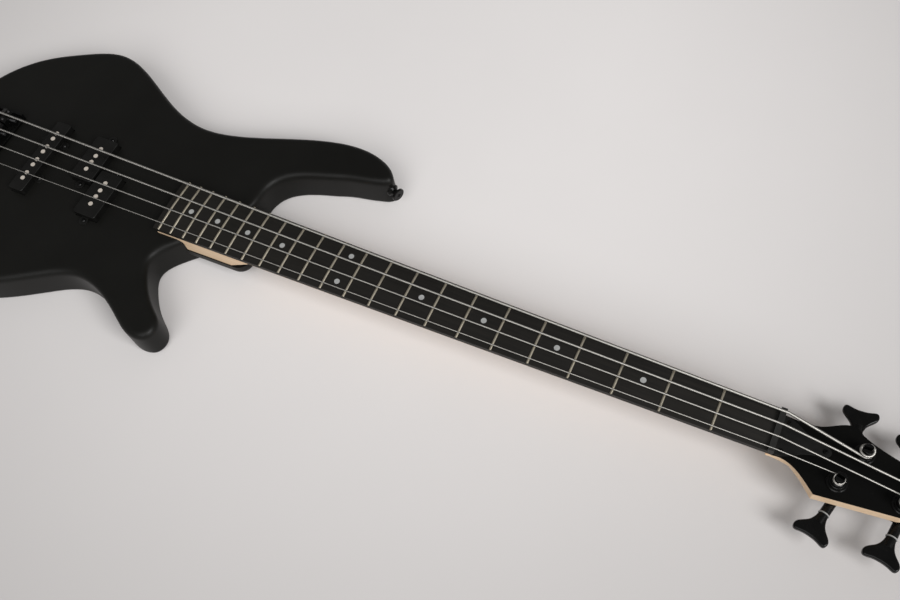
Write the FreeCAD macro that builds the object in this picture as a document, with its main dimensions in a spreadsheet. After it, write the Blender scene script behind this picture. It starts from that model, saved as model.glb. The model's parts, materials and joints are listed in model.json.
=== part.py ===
import FreeCAD, Part
import math
import os
import re
import types

import Sketcher
from FreeCAD import Placement, Rotation, Vector

# Electric bass guitar with a long scale and a bolted neck, lying on its back.
# Frame: +X along the strings to the head, +Y to the side of the thickest string, +Z out of the face.
# The origin is on the back of the body, under the middle of the nominal saddle line.

SIZES = (
    ("scale_length", "863.6", "nut edge to nominal saddle line"),
    ("fret_count", "22", "number of frets"),
    ("body_thick", "40", "back to face of the body"),
    ("upper_bout", "160", "centre line to the widest point on the thick string's side"),
    ("lower_bout", "168", "centre line to the widest point on the thin string's side"),
    ("tail_reach", "79", "saddle line to the tail end"),
    ("upper_horn", "88.7", "end of the heel to the tip of the long horn"),
    ("lower_horn", "49.6", "tip of the short horn behind the end of the heel"),
    ("face_round", "6", "rounding of the body's face edge"),
    ("back_round", "5", "rounding of the body's back edge"),
    ("pocket_depth", "16", "neck pocket below the body's face"),
    ("pocket_clear", "0.15", "gap round the heel in its pocket"),
    ("heel_inset", "4", "end of the fingerboard to the end of the heel"),
    ("heel_reach", "108", "length of the heel block"),
    ("heel_ramp", "25", "slope from the heel's underside up into the neck"),
    ("tongue_drop", "14", "body wood that carries the heel past the pocket's slanted mouth"),
    ("tongue_edge", "1.2", "that wood past the sides of the heel"),
    ("tongue_short", "8", "end of that wood behind the end of the heel"),
    ("tongue_corner", "14", "rounding of its corners seen from above"),
    ("tongue_round", "8", "rounding of its lower edges"),
    ("heel_thick", "18.5", "neck wood at the heel"),
    ("neck_nut_depth", "13.5", "neck wood behind the nut"),
    ("neck_heel_depth", "17", "neck wood beside the heel"),
    ("neck_side", "2.5", "straight side of the neck below the fingerboard"),
    ("neck_lean", "1.3", "lean of that side towards the centre line"),
    ("head_step", "4", "drop from the fingerboard's underside to the head's face"),
    ("head_thick", "12", "head face to head back"),
    ("bevel_lean", "0.6", "inward run of the bevel under the head for each unit of its height"),
    ("board_thick", "6", "fingerboard at the centre line"),
    ("board_radius", "305", "crown radius of the fingerboard"),
    ("board_nut_width", "41.5", "fingerboard at the nut"),
    ("board_last_width", "62", "fingerboard at the last fret"),
    ("board_tail", "6.7", "fingerboard past the last fret"),
    ("fret_width", "2.5", "fret crown along the strings"),
    ("fret_rise", "1", "fret crown above the fingerboard"),
    ("tang_width", "0.6", "fret tang along the strings"),
    ("tang_depth", "2", "fret tang below the fingerboard's face"),
    ("fret_inset", "0.3", "fret end inside the fingerboard's edge"),
    ("dot_radius", "2.75", "position dot"),
    ("dot_depth", "1.6", "thickness of a position dot"),
    ("octave_spread", "30", "between the two dots of the octave"),
    ("side_dot_radius", "1.1", "dot in the fingerboard's edge"),
    ("nut_thick", "5", "nut along the strings"),
    ("nut_rise", "1.6", "nut above the fret tops"),
    ("nut_spread", "35", "outer strings at the nut"),
    ("bridge_spread", "57", "outer strings at the bridge"),
    ("nut_lift", "0.5", "strings above the fret tops at the nut"),
    ("bridge_lift", "4.9", "strings above the fret tops at the bridge"),
    ("string_e_thick", "2.67", "diameter of the first string"),
    ("string_a_thick", "2.16", "diameter of the second string"),
    ("string_d_thick", "1.65", "diameter of the third string"),
    ("string_g_thick", "1.14", "diameter of the fourth string"),
    ("turn_gap", "0.5", "gap between the turns of a string on its post"),
    ("post_e_reach", "74", "nut edge to the first post"),
    ("post_e_side", "11", "centre line to the first post"),
    ("post_a_reach", "120", "nut edge to the second post"),
    ("post_a_side", "0.6", "centre line to the second post"),
    ("post_d_reach", "112", "nut edge to the third post"),
    ("post_d_side", "-19", "centre line to the third post"),
    ("post_g_reach", "59.8", "nut edge to the fourth post"),
    ("post_g_side", "-21.2", "centre line to the fourth post"),
    ("sweep_e", "3", "turn of the first key towards the nut in degrees"),
    ("sweep_a", "1", "turn of the second key towards the nut in degrees"),
    ("sweep_d", "10", "turn of the third key towards the nut in degrees"),
    ("sweep_g", "15", "turn of the fourth key towards the nut in degrees"),
    ("post_radius", "3.6", "waist of a post"),
    ("post_waist", "8.4", "height of a post's waist"),
    ("post_rim", "1.6", "height of a post's rims"),
    ("post_shaft", "3", "radius of a post below its waist"),
    ("bushing_radius", "8.8", "outer ring of a bushing"),
    ("bushing_collar", "6.6", "inner ring of a bushing"),
    ("bushing_rise", "3", "bushing above the head's face"),
    ("bushing_sleeve", "5.6", "radius of a bushing inside the head"),
    ("gear_radius", "4", "gear on a post"),
    ("gear_thick", "4.4", "height of the gear"),
    ("worm_radius", "2", "worm on a key's shaft"),
    ("worm_length", "9", "length of the worm"),
    ("mesh_gap", "0.25", "gap between gear and worm"),
    ("case_plate", "1.6", "foot plate of a tuner's case"),
    ("case_depth", "10.5", "tuner case below the head's back"),
    ("case_length", "17", "tuner case along the key's shaft"),
    ("case_wall", "1.4", "wall of a tuner's case"),
    ("key_shaft", "1.6", "radius of a key's shaft"),
    ("key_collar", "4.4", "radius of the sleeve round a key's shaft"),
    ("collar_reach", "22.2", "post axis to the end of the sleeve"),
    ("washer_thick", "0.9", "washer between sleeve and key"),
    ("key_stem", "4.1", "radius of a key's stem"),
    ("key_length", "24.5", "washer to the far edge of a key"),
    ("key_span", "31", "width of a key across its two lobes"),
    ("key_thick", "5.6", "thickness of a key"),
    ("running_gap", "0.05", "radial gap of a shaft that turns"),
    ("seat_gap", "0.02", "radial gap of a fixed pin or screw"),
    ("loose_gap", "0.3", "gap between pieces that pass each other"),
    ("rod_radius", "2.5", "truss rod"),
    ("rod_depth", "7.3", "fingerboard's underside to the rod's axis"),
    ("rod_nut_radius", "3.1", "adjusting nut of the truss rod"),
    ("rod_nut_length", "14", "adjusting nut along the rod"),
    ("rod_cover_length", "44", "truss rod cover along the head"),
    ("rod_cover_width", "36", "truss rod cover behind the nut"),
    ("rod_cover_thick", "2", "truss rod cover"),
    ("small_head", "2.2", "head radius of a small screw"),
    ("small_dome", "1.4", "head height of a small screw"),
    ("small_shank", "1.2", "shank radius of a small screw"),
    ("small_length", "8.5", "shank length of a small screw"),
    ("wood_head", "4", "head radius of a countersunk wood screw"),
    ("wood_cone", "2.3", "head height of a countersunk wood screw"),
    ("wood_shank", "1.8", "shank radius of a wood screw"),
    ("wood_length", "24", "shank length of a wood screw"),
    ("ferrule_radius", "7", "neck ferrule"),
    ("ferrule_thick", "4", "depth of a neck ferrule"),
    ("bolt_head", "4.6", "head radius of a neck screw"),
    ("bolt_rise", "2.4", "head height of a neck screw"),
    ("bolt_shank", "2.4", "shank radius of a neck screw"),
    ("bolt_cover", "5.7", "wood above the point of a neck screw"),
    ("bar_width", "18.6", "bar pickup along the strings"),
    ("bar_length", "93", "bar pickup across the strings"),
    ("bar_place", "64.7", "saddle line to the bar pickup's centre"),
    ("split_width", "28", "half of the split pickup along the strings"),
    ("split_length", "55", "half of the split pickup across the strings"),
    ("split_thick_place", "125", "saddle line to the half under the thick strings"),
    ("split_thin_place", "156.5", "saddle line to the half under the thin strings"),
    ("split_offset", "18.3", "centre line to the middle of each half"),
    ("pickup_rise", "8", "pickup above the body's face"),
    ("pickup_sink", "9", "pickup cover below the body's face"),
    ("cavity_depth", "21", "pickup cavity below the body's face"),
    ("cover_wall", "1.4", "wall of a pickup cover"),
    ("cover_round", "2.5", "corner of a pickup cover"),
    ("ear_radius", "5", "mounting ear of a pickup"),
    ("ear_thick", "1.8", "thickness of an ear"),
    ("pole_radius", "2.4", "magnet pole"),
    ("pole_rise", "0.5", "pole above its cover"),
    ("pole_pair", "9.6", "poles of one string on the split pickup"),
    ("bar_pole_pair", "7.4", "poles of one string on the bar pickup"),
    ("ear_screw_length", "20", "shank length of a pickup screw"),
    ("plate_front", "10", "bridge plate in front of the saddle line"),
    ("plate_back", "60", "bridge plate behind the saddle line"),
    ("plate_thick", "3", "bridge plate"),
    ("wall_place", "40", "saddle line to the middle of the bridge's rear wall"),
    ("wall_thick", "4", "rear wall of the bridge"),
    ("wall_rise", "13", "rear wall above the plate"),
    ("rail_width", "2.6", "side rail of the bridge"),
    ("rail_rise", "6", "side rail above the plate"),
    ("anchor_rise", "9.6", "string hole above the plate"),
    ("ball_radius", "3", "ball end of a string"),
    ("ball_length", "5", "ball end of a string"),
    ("saddle_space", "2.6", "gap between neighbouring saddles"),
    ("saddle_front", "5", "saddle in front of its crown"),
    ("saddle_back", "8", "saddle behind its crown"),
    ("saddle_gap", "0.12", "string above the saddle's crown"),
    ("level_run", "3.5", "straight string behind the crown"),
    ("saddle_e_set", "5", "first crown behind the saddle line"),
    ("saddle_a_set", "3.6", "second crown behind the saddle line"),
    ("saddle_d_set", "2.4", "third crown behind the saddle line"),
    ("saddle_g_set", "1.4", "fourth crown behind the saddle line"),
    ("set_radius", "1.5", "radius of the saddle screws"),
    ("set_head", "2.4", "head radius of an intonation screw"),
    ("set_rise", "3.6", "intonation screw above the plate"),
    ("set_spread", "11", "between the two height screws of a saddle"),
    ("knob_radius", "9.5", "control knob"),
    ("knob_rise", "15", "height of a control knob"),
    ("knob_wall", "2", "wall of a control knob"),
    ("pot_radius", "12", "case of a control"),
    ("pot_thick", "9", "height of a control's case"),
    ("pot_thread", "4.7", "threaded neck of a control"),
    ("pot_shaft", "3", "shaft of a control"),
    ("pot_nut", "6.6", "nut of a control"),
    ("face_wood", "9", "wood between control cavity and face"),
    ("control_length", "92", "control cavity along the strings"),
    ("control_width", "52", "control cavity across the strings"),
    ("control_place", "4", "saddle line to the control cavity's centre"),
    ("control_side", "-100", "centre line to the control cavity's centre"),
    ("lid_margin", "7", "control lid past its cavity"),
    ("lid_thick", "3", "control lid"),
    ("jack_place", "20", "saddle line to the output jack"),
    ("jack_height", "20", "back of the body to the output jack"),
    ("jack_seat", "4", "depth of the jack's seat in the edge"),
    ("jack_flange", "11", "flange radius of the jack"),
    ("jack_barrel", "5.6", "barrel radius of the jack"),
    ("jack_bore", "3.25", "plug bore of the jack"),
    ("jack_length", "42", "length of the jack's barrel"),
    ("button_base", "6.6", "foot radius of a strap button"),
    ("button_waist", "4", "waist radius of a strap button"),
    ("button_rim", "7.2", "rim radius of a strap button"),
    ("button_length", "11", "length of a strap button"),
    ("button_seat", "2.5", "depth of a strap button's seat"),
    ("horn_button_turn", "-20", "turn of the horn's strap button from the centre line in degrees"),
)

doc = FreeCAD.newDocument("electric_bass")
sheet = doc.addObject("Spreadsheet::Sheet", "sizes")
for row, (alias, number, note) in enumerate(SIZES, start=1):
    sheet.set(f"A{row}", note)
    sheet.set(f"B{row}", number)
    sheet.setAlias(f"B{row}", alias)
doc.recompute()
size = types.SimpleNamespace(**{alias: float(sheet.get(alias)) for alias, number, note in SIZES})

UP = Rotation()
AXIS = {
    "+Z": UP,
    "-Z": Rotation(Vector(1, 0, 0), 180),
    "+X": Rotation(Vector(0, 1, 0), 90),
    "-X": Rotation(Vector(0, 1, 0), -90),
    "+Y": Rotation(Vector(1, 0, 0), -90),
    "-Y": Rotation(Vector(1, 0, 0), 90),
}
nodes = {}


def publish(solid, label):
    """Names a finished sub-part and keeps it for export."""
    solid.Label = label
    nodes[label] = solid
    return solid


def cells(text):
    """Turns the words of a formula into references to the sheet."""
    return re.sub(r"[a-z]\w*", lambda word: "sizes." + word.group(), text)


def bind(solid, **formulas):
    for name, text in formulas.items():
        solid.setExpression(name, cells(text))


def at(x, y, z, axis="+Z"):
    return Placement(Vector(x, y, z), AXIS[axis])


def block(name, length, width, height, low):
    """A block from three formulas and its low corner."""
    solid = doc.addObject("Part::Box", name)
    bind(solid, Length=length, Width=width, Height=height)
    solid.Placement = at(*low)
    return solid


def rod(name, radius, height, base, axis="+Z"):
    """A cylinder from two formulas, standing on base along axis."""
    solid = doc.addObject("Part::Cylinder", name)
    bind(solid, Radius=radius, Height=height)
    solid.Placement = at(*base, axis)
    return solid


def fixed(name, shape):
    """A shape that is worked out here from the sheet's values."""
    solid = doc.addObject("Part::Feature", name)
    solid.Shape = shape
    return solid


def fuse(name, parts):
    solid = doc.addObject("Part::MultiFuse", name)
    solid.Shapes = parts
    return solid


def cut(name, base, tools):
    """Takes the tools away from base."""
    solid = doc.addObject("Part::Cut", name)
    solid.Base = base
    solid.Tool = tools[0] if len(tools) == 1 else fuse(name + "_tools", tools)
    return solid


def group(name, parts):
    solid = doc.addObject("Part::Compound", name)
    solid.Links = parts
    return solid


def soften(name, base, radius, picks):
    """Rounds the edges of base that picks accepts."""
    doc.recompute()
    solid = doc.addObject("Part::Fillet", name)
    solid.Base = base
    solid.Edges = [(i, radius, radius) for i, edge in enumerate(base.Shape.Edges, start=1) if picks(edge)]
    return solid


def upright(edge):
    ends = [corner.Point for corner in edge.Vertexes]
    return len(ends) == 2 and (ends[0] - ends[1]).cross(Vector(0, 0, 1)).Length < 0.001


def outline_sketch(body, role, corners):
    """A closed outline on one of the body's own planes, each corner held by two formulas."""
    plane = next(item for item in body.Origin.OriginFeatures if item.Role == role)
    sketch = body.newObject("Sketcher::SketchObject", body.Name + "_outline")
    sketch.AttachmentSupport = (plane, [""])
    sketch.MapMode = "FlatFace"
    count = len(corners)
    ring = [Vector(40 + 20 * math.cos(math.tau * i / count), 40 + 20 * math.sin(math.tau * i / count), 0)
            for i in range(count)]
    for i in range(count):
        sketch.addGeometry(Part.LineSegment(ring[i], ring[(i + 1) % count]))
    for i in range(count):
        sketch.addConstraint(Sketcher.Constraint("Coincident", i, 2, (i + 1) % count, 1))
    for i, (across, along) in enumerate(corners):
        flat = sketch.addConstraint(Sketcher.Constraint("DistanceX", -1, 1, i, 1, ring[i].x))
        sketch.setExpression(f"Constraints[{flat}]", cells(across))
        tall = sketch.addConstraint(Sketcher.Constraint("DistanceY", -1, 1, i, 1, ring[i].y))
        sketch.setExpression(f"Constraints[{tall}]", cells(along))
    return sketch


def turned(name, profile):
    """A body turned about its Z axis from corners given as radius and height."""
    body = doc.addObject("PartDesign::Body", name)
    sketch = outline_sketch(body, "XZ_Plane", profile)
    turn = body.newObject("PartDesign::Revolution", name + "_turn")
    turn.Profile = sketch
    turn.ReferenceAxis = (sketch, ["V_Axis"])
    turn.Angle = 360
    return body


def padded(name, corners, thickness, role="XY_Plane"):
    """A flat body padded from the corners of its outline."""
    body = doc.addObject("PartDesign::Body", name)
    sketch = outline_sketch(body, role, corners)
    pad = body.newObject("PartDesign::Pad", name + "_pad")
    pad.Profile = sketch
    bind(pad, Length=thickness)
    return body


def copies(name, master, places):
    """Places copies of one finished shape as a group of separate solids."""
    doc.recompute()
    return fixed(name, Part.makeCompound([placed(master.Shape, place) for place in places]))


def placed(shape, place):
    return shape.transformed(place.toMatrix())


def drilled(name, radius, depth, places):
    """Holes for copies: each runs from its place along the place's own Z axis."""
    bits = [placed(Part.makeCylinder(radius, depth), place) for place in places]
    return fixed(name, Part.makeCompound(bits))


# Levels and stations that several sub-parts share.
face = size.body_thick
pocket_floor = face - size.pocket_depth
wood_top = pocket_floor + size.heel_thick
crown = wood_top + size.board_thick
fret_top = crown + size.fret_rise
head_face = wood_top - size.head_step
head_back = head_face - size.head_thick
plate_top = face + size.plate_thick
nut_edge = size.scale_length
nut_back = nut_edge + size.nut_thick
cavity_floor = face - size.cavity_depth
FRETS = int(size.fret_count)


def fret_place(number):
    return size.scale_length * 2 ** (-number / 12)


board_end = fret_place(FRETS) - size.board_tail
heel_start = board_end + size.heel_inset
heel_end = heel_start + size.heel_reach


def half_width(x):
    """Half of the fingerboard's width at x."""
    share = (nut_edge - x) / (nut_edge - fret_place(FRETS))
    return (size.board_nut_width + share * (size.board_last_width - size.board_nut_width)) / 2


# One entry per string: name, side of the head, diameter, post and crown.
STRINGS = ("e", "a", "d", "g")
strings = {}
for order, letter in enumerate(STRINGS):
    share = 0.5 - order / 3
    strings[letter] = types.SimpleNamespace(
        radius=getattr(size, f"string_{letter}_thick") / 2,
        nut_side=share * size.nut_spread,
        bridge_side=share * size.bridge_spread,
        crown_x=-getattr(size, f"saddle_{letter}_set"),
        post_x=nut_edge + getattr(size, f"post_{letter}_reach"),
        post_y=getattr(size, f"post_{letter}_side"),
        hand=1 if order < 2 else -1,
    )


def string_side(letter, x):
    string = strings[letter]
    return string.bridge_side + (string.nut_side - string.bridge_side) * x / nut_edge


# Masters of the fasteners, head up, with the underside of the head or the top of the cone at zero.

def recess(name, radius, depth, top):
    """A cross for the driver, cut into a screw's head."""
    half = radius * 0.6
    arm = radius * 0.15
    low = top - depth
    long_arm = fixed(name + "_long", Part.makeBox(2 * half, 2 * arm, depth, Vector(-half, -arm, low)))
    side_arm = fixed(name + "_side", Part.makeBox(2 * arm, 2 * half, depth, Vector(-arm, -half, low)))
    return [long_arm, side_arm]


small_blank = turned("small_screw_blank", [
    ("0", "0 - small_length"), ("small_shank * 0.4", "0 - small_length"),
    ("small_shank", "small_shank * 1.6 - small_length"), ("small_shank", "0"), ("small_head", "0"),
    ("small_head", "small_dome * 0.35"), ("small_head * 0.72", "small_dome * 0.85"),
    ("small_head * 0.4", "small_dome"), ("0", "small_dome")])
small_screw = cut("small_screw", small_blank, recess("small_cross", size.small_head, 0.8, size.small_dome))

wood_blank = turned("wood_screw_blank", [
    ("0", "0 - wood_length"), ("wood_shank * 0.3", "0 - wood_length"),
    ("wood_shank", "wood_shank * 2 - wood_length"), ("wood_shank", "0 - wood_cone"),
    ("wood_head", "0"), ("0", "0")])
wood_screw = cut("wood_screw", wood_blank, recess("wood_cross", size.wood_head, 1.4, 0))

bolt_seat = size.bolt_rise + 0.4
bolt_length = wood_top - size.bolt_cover - bolt_seat
bolt_blank = turned("neck_screw_blank", [
    ("0", f"0 - {bolt_length}"), ("bolt_shank * 0.3", f"0 - {bolt_length}"),
    ("bolt_shank", f"bolt_shank * 2 - {bolt_length}"), ("bolt_shank", "0"), ("bolt_head", "0"),
    ("bolt_head", "bolt_rise * 0.5"), ("bolt_head * 0.7", "bolt_rise"), ("0", "bolt_rise")])
neck_screw = cut("neck_screw", bolt_blank, recess("neck_cross", size.bolt_head, 1.5, size.bolt_rise))

ear_blank = turned("pickup_screw_blank", [
    ("0", "0 - ear_screw_length"), ("small_shank * 0.4", "0 - ear_screw_length"),
    ("small_shank", "small_shank * 2 - ear_screw_length"), ("small_shank", "0"), ("small_head", "0"),
    ("small_head", "small_dome * 0.35"), ("small_head * 0.72", "small_dome * 0.85"),
    ("small_head * 0.4", "small_dome"), ("0", "small_dome")])
ear_screw = cut("pickup_screw", ear_blank, recess("pickup_cross", size.small_head, 0.8, size.small_dome))

small_places = []
wood_places = []


# Body: a closed curve through the few points that give the two bouts, waists and horns.

long_tip = heel_end + size.upper_horn
short_tip = heel_end - size.lower_horn
horn_side = 0.733 * size.upper_bout
tail_side = -0.09 * size.upper_bout


def body_outline():
    tail = size.tail_reach
    up = size.upper_bout
    low = size.lower_bout
    upper_edge = [
        (-tail, tail_side), (-0.83 * tail, 0.455 * up), (-0.33 * tail, 0.76 * up), (0.2 * tail, 0.91 * up),
        (0.1375 * long_tip, up), (0.243 * long_tip, 0.915 * up), (0.387 * long_tip, 0.71 * up),
        (0.486 * long_tip, 0.645 * up), (0.5845 * long_tip, 0.68 * up), (long_tip - 86, 0.86 * up),
    ]
    horn = [(50, 24.3), (14.8, 15.9), (7.8, 11.3), (2.7, 5.9), (0, 1.3), (0.9, -3.9), (5, -7.3),
            (12.3, -9.6), (21.3, -11.8), (48.9, -17.5), (57.3, -20.3)]
    pocket_mouth = [(-6.6, 0.525 * up), (-23.4, 71.5), (-30, 57), (-31, 44), (-35.6, 26), (-57.6, -10),
                    (-85.6, -38)]
    lower_edge = [
        (short_tip - 50, -0.37 * low), (short_tip - 42, -0.476 * low), (short_tip - 18, -0.625 * low),
        (short_tip - 1, -0.73 * low), (short_tip - 4, -0.81 * low), (short_tip - 19, -0.84 * low),
        (short_tip - 44, -0.78 * low), (0.698 * short_tip, -0.645 * low), (0.624 * short_tip, -0.63 * low),
        (0.49 * short_tip, -0.73 * low), (0.332 * short_tip, -0.89 * low), (0.067 * short_tip, -low),
        (-0.57 * tail, -0.88 * low), (-0.92 * tail, -0.54 * low),
    ]
    points = upper_edge + [(long_tip - back, horn_side + side) for back, side in horn]
    points += [(heel_end + along, side) for along, side in pocket_mouth] + lower_edge
    curve = Part.BSplineCurve()
    curve.interpolate(Points=[Vector(x, y, 0) for x, y in reversed(points)], PeriodicFlag=True)
    return curve


def heel_prism(gap, low, high, end):
    """The tapered heel, or its pocket when gap is set, from low to high and out to end."""
    begin = heel_start - gap
    corners = [Vector(begin, -half_width(begin) - gap, low), Vector(end, -half_width(end) - gap, low),
               Vector(end, half_width(end) + gap, low), Vector(begin, half_width(begin) + gap, low)]
    return Part.Face(Part.makePolygon(corners + corners[:1])).extrude(Vector(0, 0, high - low))


blank = fixed("body_blank", Part.Face(Part.Wire(body_outline().toShape())).extrude(Vector(0, 0, face)))


def on_level(level):
    return lambda edge: all(abs(corner.Z - level) < 0.001 for corner in edge.Vertexes) and not upright(edge)


rounded = soften("body_rounded", blank, size.face_round, on_level(face))
rounded = soften("body_eased", rounded, size.back_round, on_level(0))

# The heel reaches past the slanted mouth of its pocket, so a rounded tongue of the body goes on under it.
tongue_low = pocket_floor - size.tongue_drop
tongue_end = heel_end - size.tongue_short


def at_end(edge):
    return upright(edge) and all(abs(corner.X - tongue_end) < 0.001 for corner in edge.Vertexes)


def under_tongue(edge):
    inside = all(corner.X < heel_start for corner in edge.Vertexes)
    return on_level(tongue_low)(edge) and not inside


tongue = fixed("tongue_block", heel_prism(size.tongue_edge, tongue_low, pocket_floor, tongue_end))
tongue = soften("tongue_cornered", tongue, size.tongue_corner, at_end)
tongue = soften("tongue", tongue, size.tongue_round, under_tongue)
rounded = fuse("body_with_tongue", [rounded, tongue])

# Pickups: name, centre, footprint, letters of the strings above and poles per string.
PICKUPS = {
    "thick": types.SimpleNamespace(x=size.split_thick_place, y=size.split_offset, wide="split_width",
                                   long="split_length", letters="ea", pair=size.pole_pair),
    "thin": types.SimpleNamespace(x=size.split_thin_place, y=-size.split_offset, wide="split_width",
                                  long="split_length", letters="dg", pair=size.pole_pair),
    "bar": types.SimpleNamespace(x=size.bar_place, y=0, wide="bar_width",
                                 long="bar_length", letters="eadg", pair=size.bar_pole_pair),
}
for pickup in PICKUPS.values():
    pickup.width = getattr(size, pickup.wide)
    pickup.length = getattr(size, pickup.long)
    pickup.poles = [(pickup.x, string_side(letter, pickup.x) + side * pickup.pair / 2)
                    for letter in pickup.letters for side in (1, -1)]
for name in ("thick", "thin"):
    reach = PICKUPS[name].length / 2 + size.ear_radius * 0.7
    PICKUPS[name].ears = [(PICKUPS[name].x, PICKUPS[name].y + side * reach) for side in (1, -1)]
reach = PICKUPS["bar"].width / 2 + size.ear_radius * 0.7
PICKUPS["bar"].ears = [(size.bar_place + end * reach, side * size.bar_length / 4)
                       for end in (1, -1) for side in (1, -1)]
ear_places = [at(x, y, face + size.ear_thick) for pickup in PICKUPS.values() for x, y in pickup.ears]

# Controls: the three pots stand in the control cavity, and the jack enters it from the edge.
cavity_roof = face - size.face_wood
CONTROLS = {}
CONTROL_SHARES = (("neck_volume", 0.33, 0.16), ("bridge_volume", -0.02, -0.08), ("tone", -0.33, -0.2))
for name, along, across in CONTROL_SHARES:
    CONTROLS[name] = (size.control_place + along * size.control_length,
                      size.control_side + across * size.control_width)
lid_x = size.control_length / 2 + size.lid_margin
lid_y = size.control_width / 2 + size.lid_margin
lid_spots = [(size.control_place + sx * (lid_x - 3.5), size.control_side + sy * (lid_y - 3.5))
             for sx in (1, 0, -1) for sy in (1, -1)]
jack_mouth = -size.lower_bout + size.jack_seat
jack_inner = size.control_side - size.control_width / 2

# Neck screws in two staggered rows that keep clear of the slanted end of the pocket.
BOLTS = [(heel_start + 0.13 * size.heel_reach, 15), (heel_start + 0.13 * size.heel_reach, -15),
         (heel_start + 0.5 * size.heel_reach, 15), (heel_start + 0.31 * size.heel_reach, -14)]
bolt_places = [at(x, y, bolt_seat, "-Z") for x, y in BOLTS]

# The horn's strap button points out of the middle of the round tip.
tip_radius = 7.7
horn_way = Rotation(Vector(0, 0, 1), size.horn_button_turn)
horn_spot = Vector(long_tip - tip_radius, horn_side, face / 2)
horn_spot += horn_way.multVec(Vector(tip_radius - size.button_seat, 0, 0))
button_places = [Placement(horn_spot, horn_way.multiply(AXIS["+X"])),
                 at(-size.tail_reach + size.button_seat, tail_side, face / 2, "-X")]
button_top = size.button_length
wood_places += [Placement(place.multVec(Vector(0, 0, button_top)), place.Rotation)
                for place in button_places]
saddle_width = size.bridge_spread / 3 - size.saddle_space
plate_width = size.bridge_spread + saddle_width + 2 * size.rail_width + 2 * size.loose_gap
bridge_spots = [(-size.plate_back + 8, y) for y in (0.36 * plate_width, 0, -0.36 * plate_width)]
bridge_spots += [(size.plate_front - 5, y) for y in (0.24 * plate_width, -0.24 * plate_width)]
wood_places += [at(x, y, plate_top) for x, y in bridge_spots]


def body_cavities():
    """Everything that is routed or drilled out of the body."""
    tools = [fixed("neck_pocket", heel_prism(size.pocket_clear, pocket_floor, face + 20, heel_end + 60))]
    for name, pickup in PICKUPS.items():
        low = (pickup.x - pickup.width / 2 - size.loose_gap,
               pickup.y - pickup.length / 2 - size.loose_gap, cavity_floor)
        tools.append(block(name + "_cavity", pickup.wide + " + 2 * loose_gap",
                           pickup.long + " + 2 * loose_gap", "cavity_depth + 1", low))
    tools.append(block("control_cavity", "control_length", "control_width",
                       "body_thick - face_wood - lid_thick",
                       (size.control_place - size.control_length / 2, jack_inner, size.lid_thick)))
    tools.append(block("lid_recess", "control_length + 2 * lid_margin + 2 * loose_gap",
                       "control_width + 2 * lid_margin + 2 * loose_gap", "lid_thick + 1",
                       (size.control_place - lid_x - size.loose_gap,
                        size.control_side - lid_y - size.loose_gap, -1)))
    for name, (x, y) in CONTROLS.items():
        tools.append(rod(name + "_hole", "pot_thread + seat_gap", "face_wood + 2", (x, y, cavity_roof - 1)))
    tools.append(rod("jack_hole", "jack_barrel + seat_gap", "lower_bout",
                     (size.jack_place, jack_inner + 1, size.jack_height), "-Y"))
    tools.append(rod("jack_recess", "jack_flange + loose_gap", "jack_seat + 20",
                     (size.jack_place, jack_mouth, size.jack_height), "-Y"))
    for i, place in enumerate(button_places):
        seat = Part.makeCylinder(size.button_base + size.loose_gap, 30)
        tools.append(fixed(f"button_seat_{i}", placed(seat, place)))
    for i, (x, y) in enumerate(BOLTS):
        tools.append(rod(f"ferrule_hole_{i}", "ferrule_radius + seat_gap", "ferrule_thick + 1", (x, y, -1)))
        tools.append(rod(f"bolt_hole_{i}", "bolt_shank + seat_gap", "body_thick", (x, y, 0)))
    under = [Placement(place.multVec(Vector(0, 0, -size.wood_length - 1)), place.Rotation)
             for place in wood_places]
    tools.append(drilled("wood_holes", size.wood_shank + size.seat_gap, size.wood_length + 1, under))
    under = [at(x, y, face - size.ear_screw_length) for pickup in PICKUPS.values() for x, y in pickup.ears]
    tools.append(drilled("ear_holes", size.small_shank + size.seat_gap, size.ear_screw_length + 1, under))
    tools.append(drilled("lid_holes", size.small_shank + size.seat_gap, size.small_length + 2,
                         [at(x, y, size.lid_thick - 1) for x, y in lid_spots]))
    return tools


publish(cut("body_cut", rounded, body_cavities()), "body")

# Neck: a tapering shaft with a round back, the heel block, and the head one step below.

def back_section(x, top, depth, inset=0):
    """Outline of the neck at x: flat top, short leaning sides and a round back."""
    half = half_width(x) - inset
    side = min(size.neck_side, depth / 3)
    low_half = half - size.neck_lean * side / size.neck_side
    corners = [Vector(x, half, top), Vector(x, -half, top),
               Vector(x, -low_half, top - side), Vector(x, low_half, top - side)]
    back = Part.Arc(corners[2], Vector(x, 0, top - depth), corners[3]).toShape()
    lines = [Part.makeLine(corners[0], corners[1]), Part.makeLine(corners[1], corners[2]), back,
             Part.makeLine(corners[3], corners[0])]
    return Part.Wire(lines)


nut_half = size.board_nut_width / 2
LOWER_NECK = [(0, -nut_half), (21, -nut_half), (34, -29), (45, -38.5)]
UPPER_NECK = [(0, nut_half), (25, 19.6), (37, 22), (49, 28.5)]


def head_outline():
    """The head: a waisted throat, a sharp lower shoulder and a tip that leans to the thin strings."""
    x = nut_edge
    half = nut_half
    lower = LOWER_NECK
    edge = [lower[-1], (113, -30.6)]
    tip = [edge[1], (142, -25), (160, -17), (166, -7), (157, 1), (122, 12.3), (102, 16.5), (70, 27)]
    upper = [tip[-1], (58, 32)] + UPPER_NECK[::-1]

    def curve(points):
        spline = Part.BSplineCurve()
        spline.interpolate([Vector(x + along, side, head_back) for along, side in points])
        return spline.toShape()

    def line(points):
        return Part.makeLine(*[Vector(x + along, side, head_back) for along, side in points])

    return Part.Wire([curve(lower), line(edge), curve(tip), curve(upper), line([(0, half), (0, -half)])])


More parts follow.
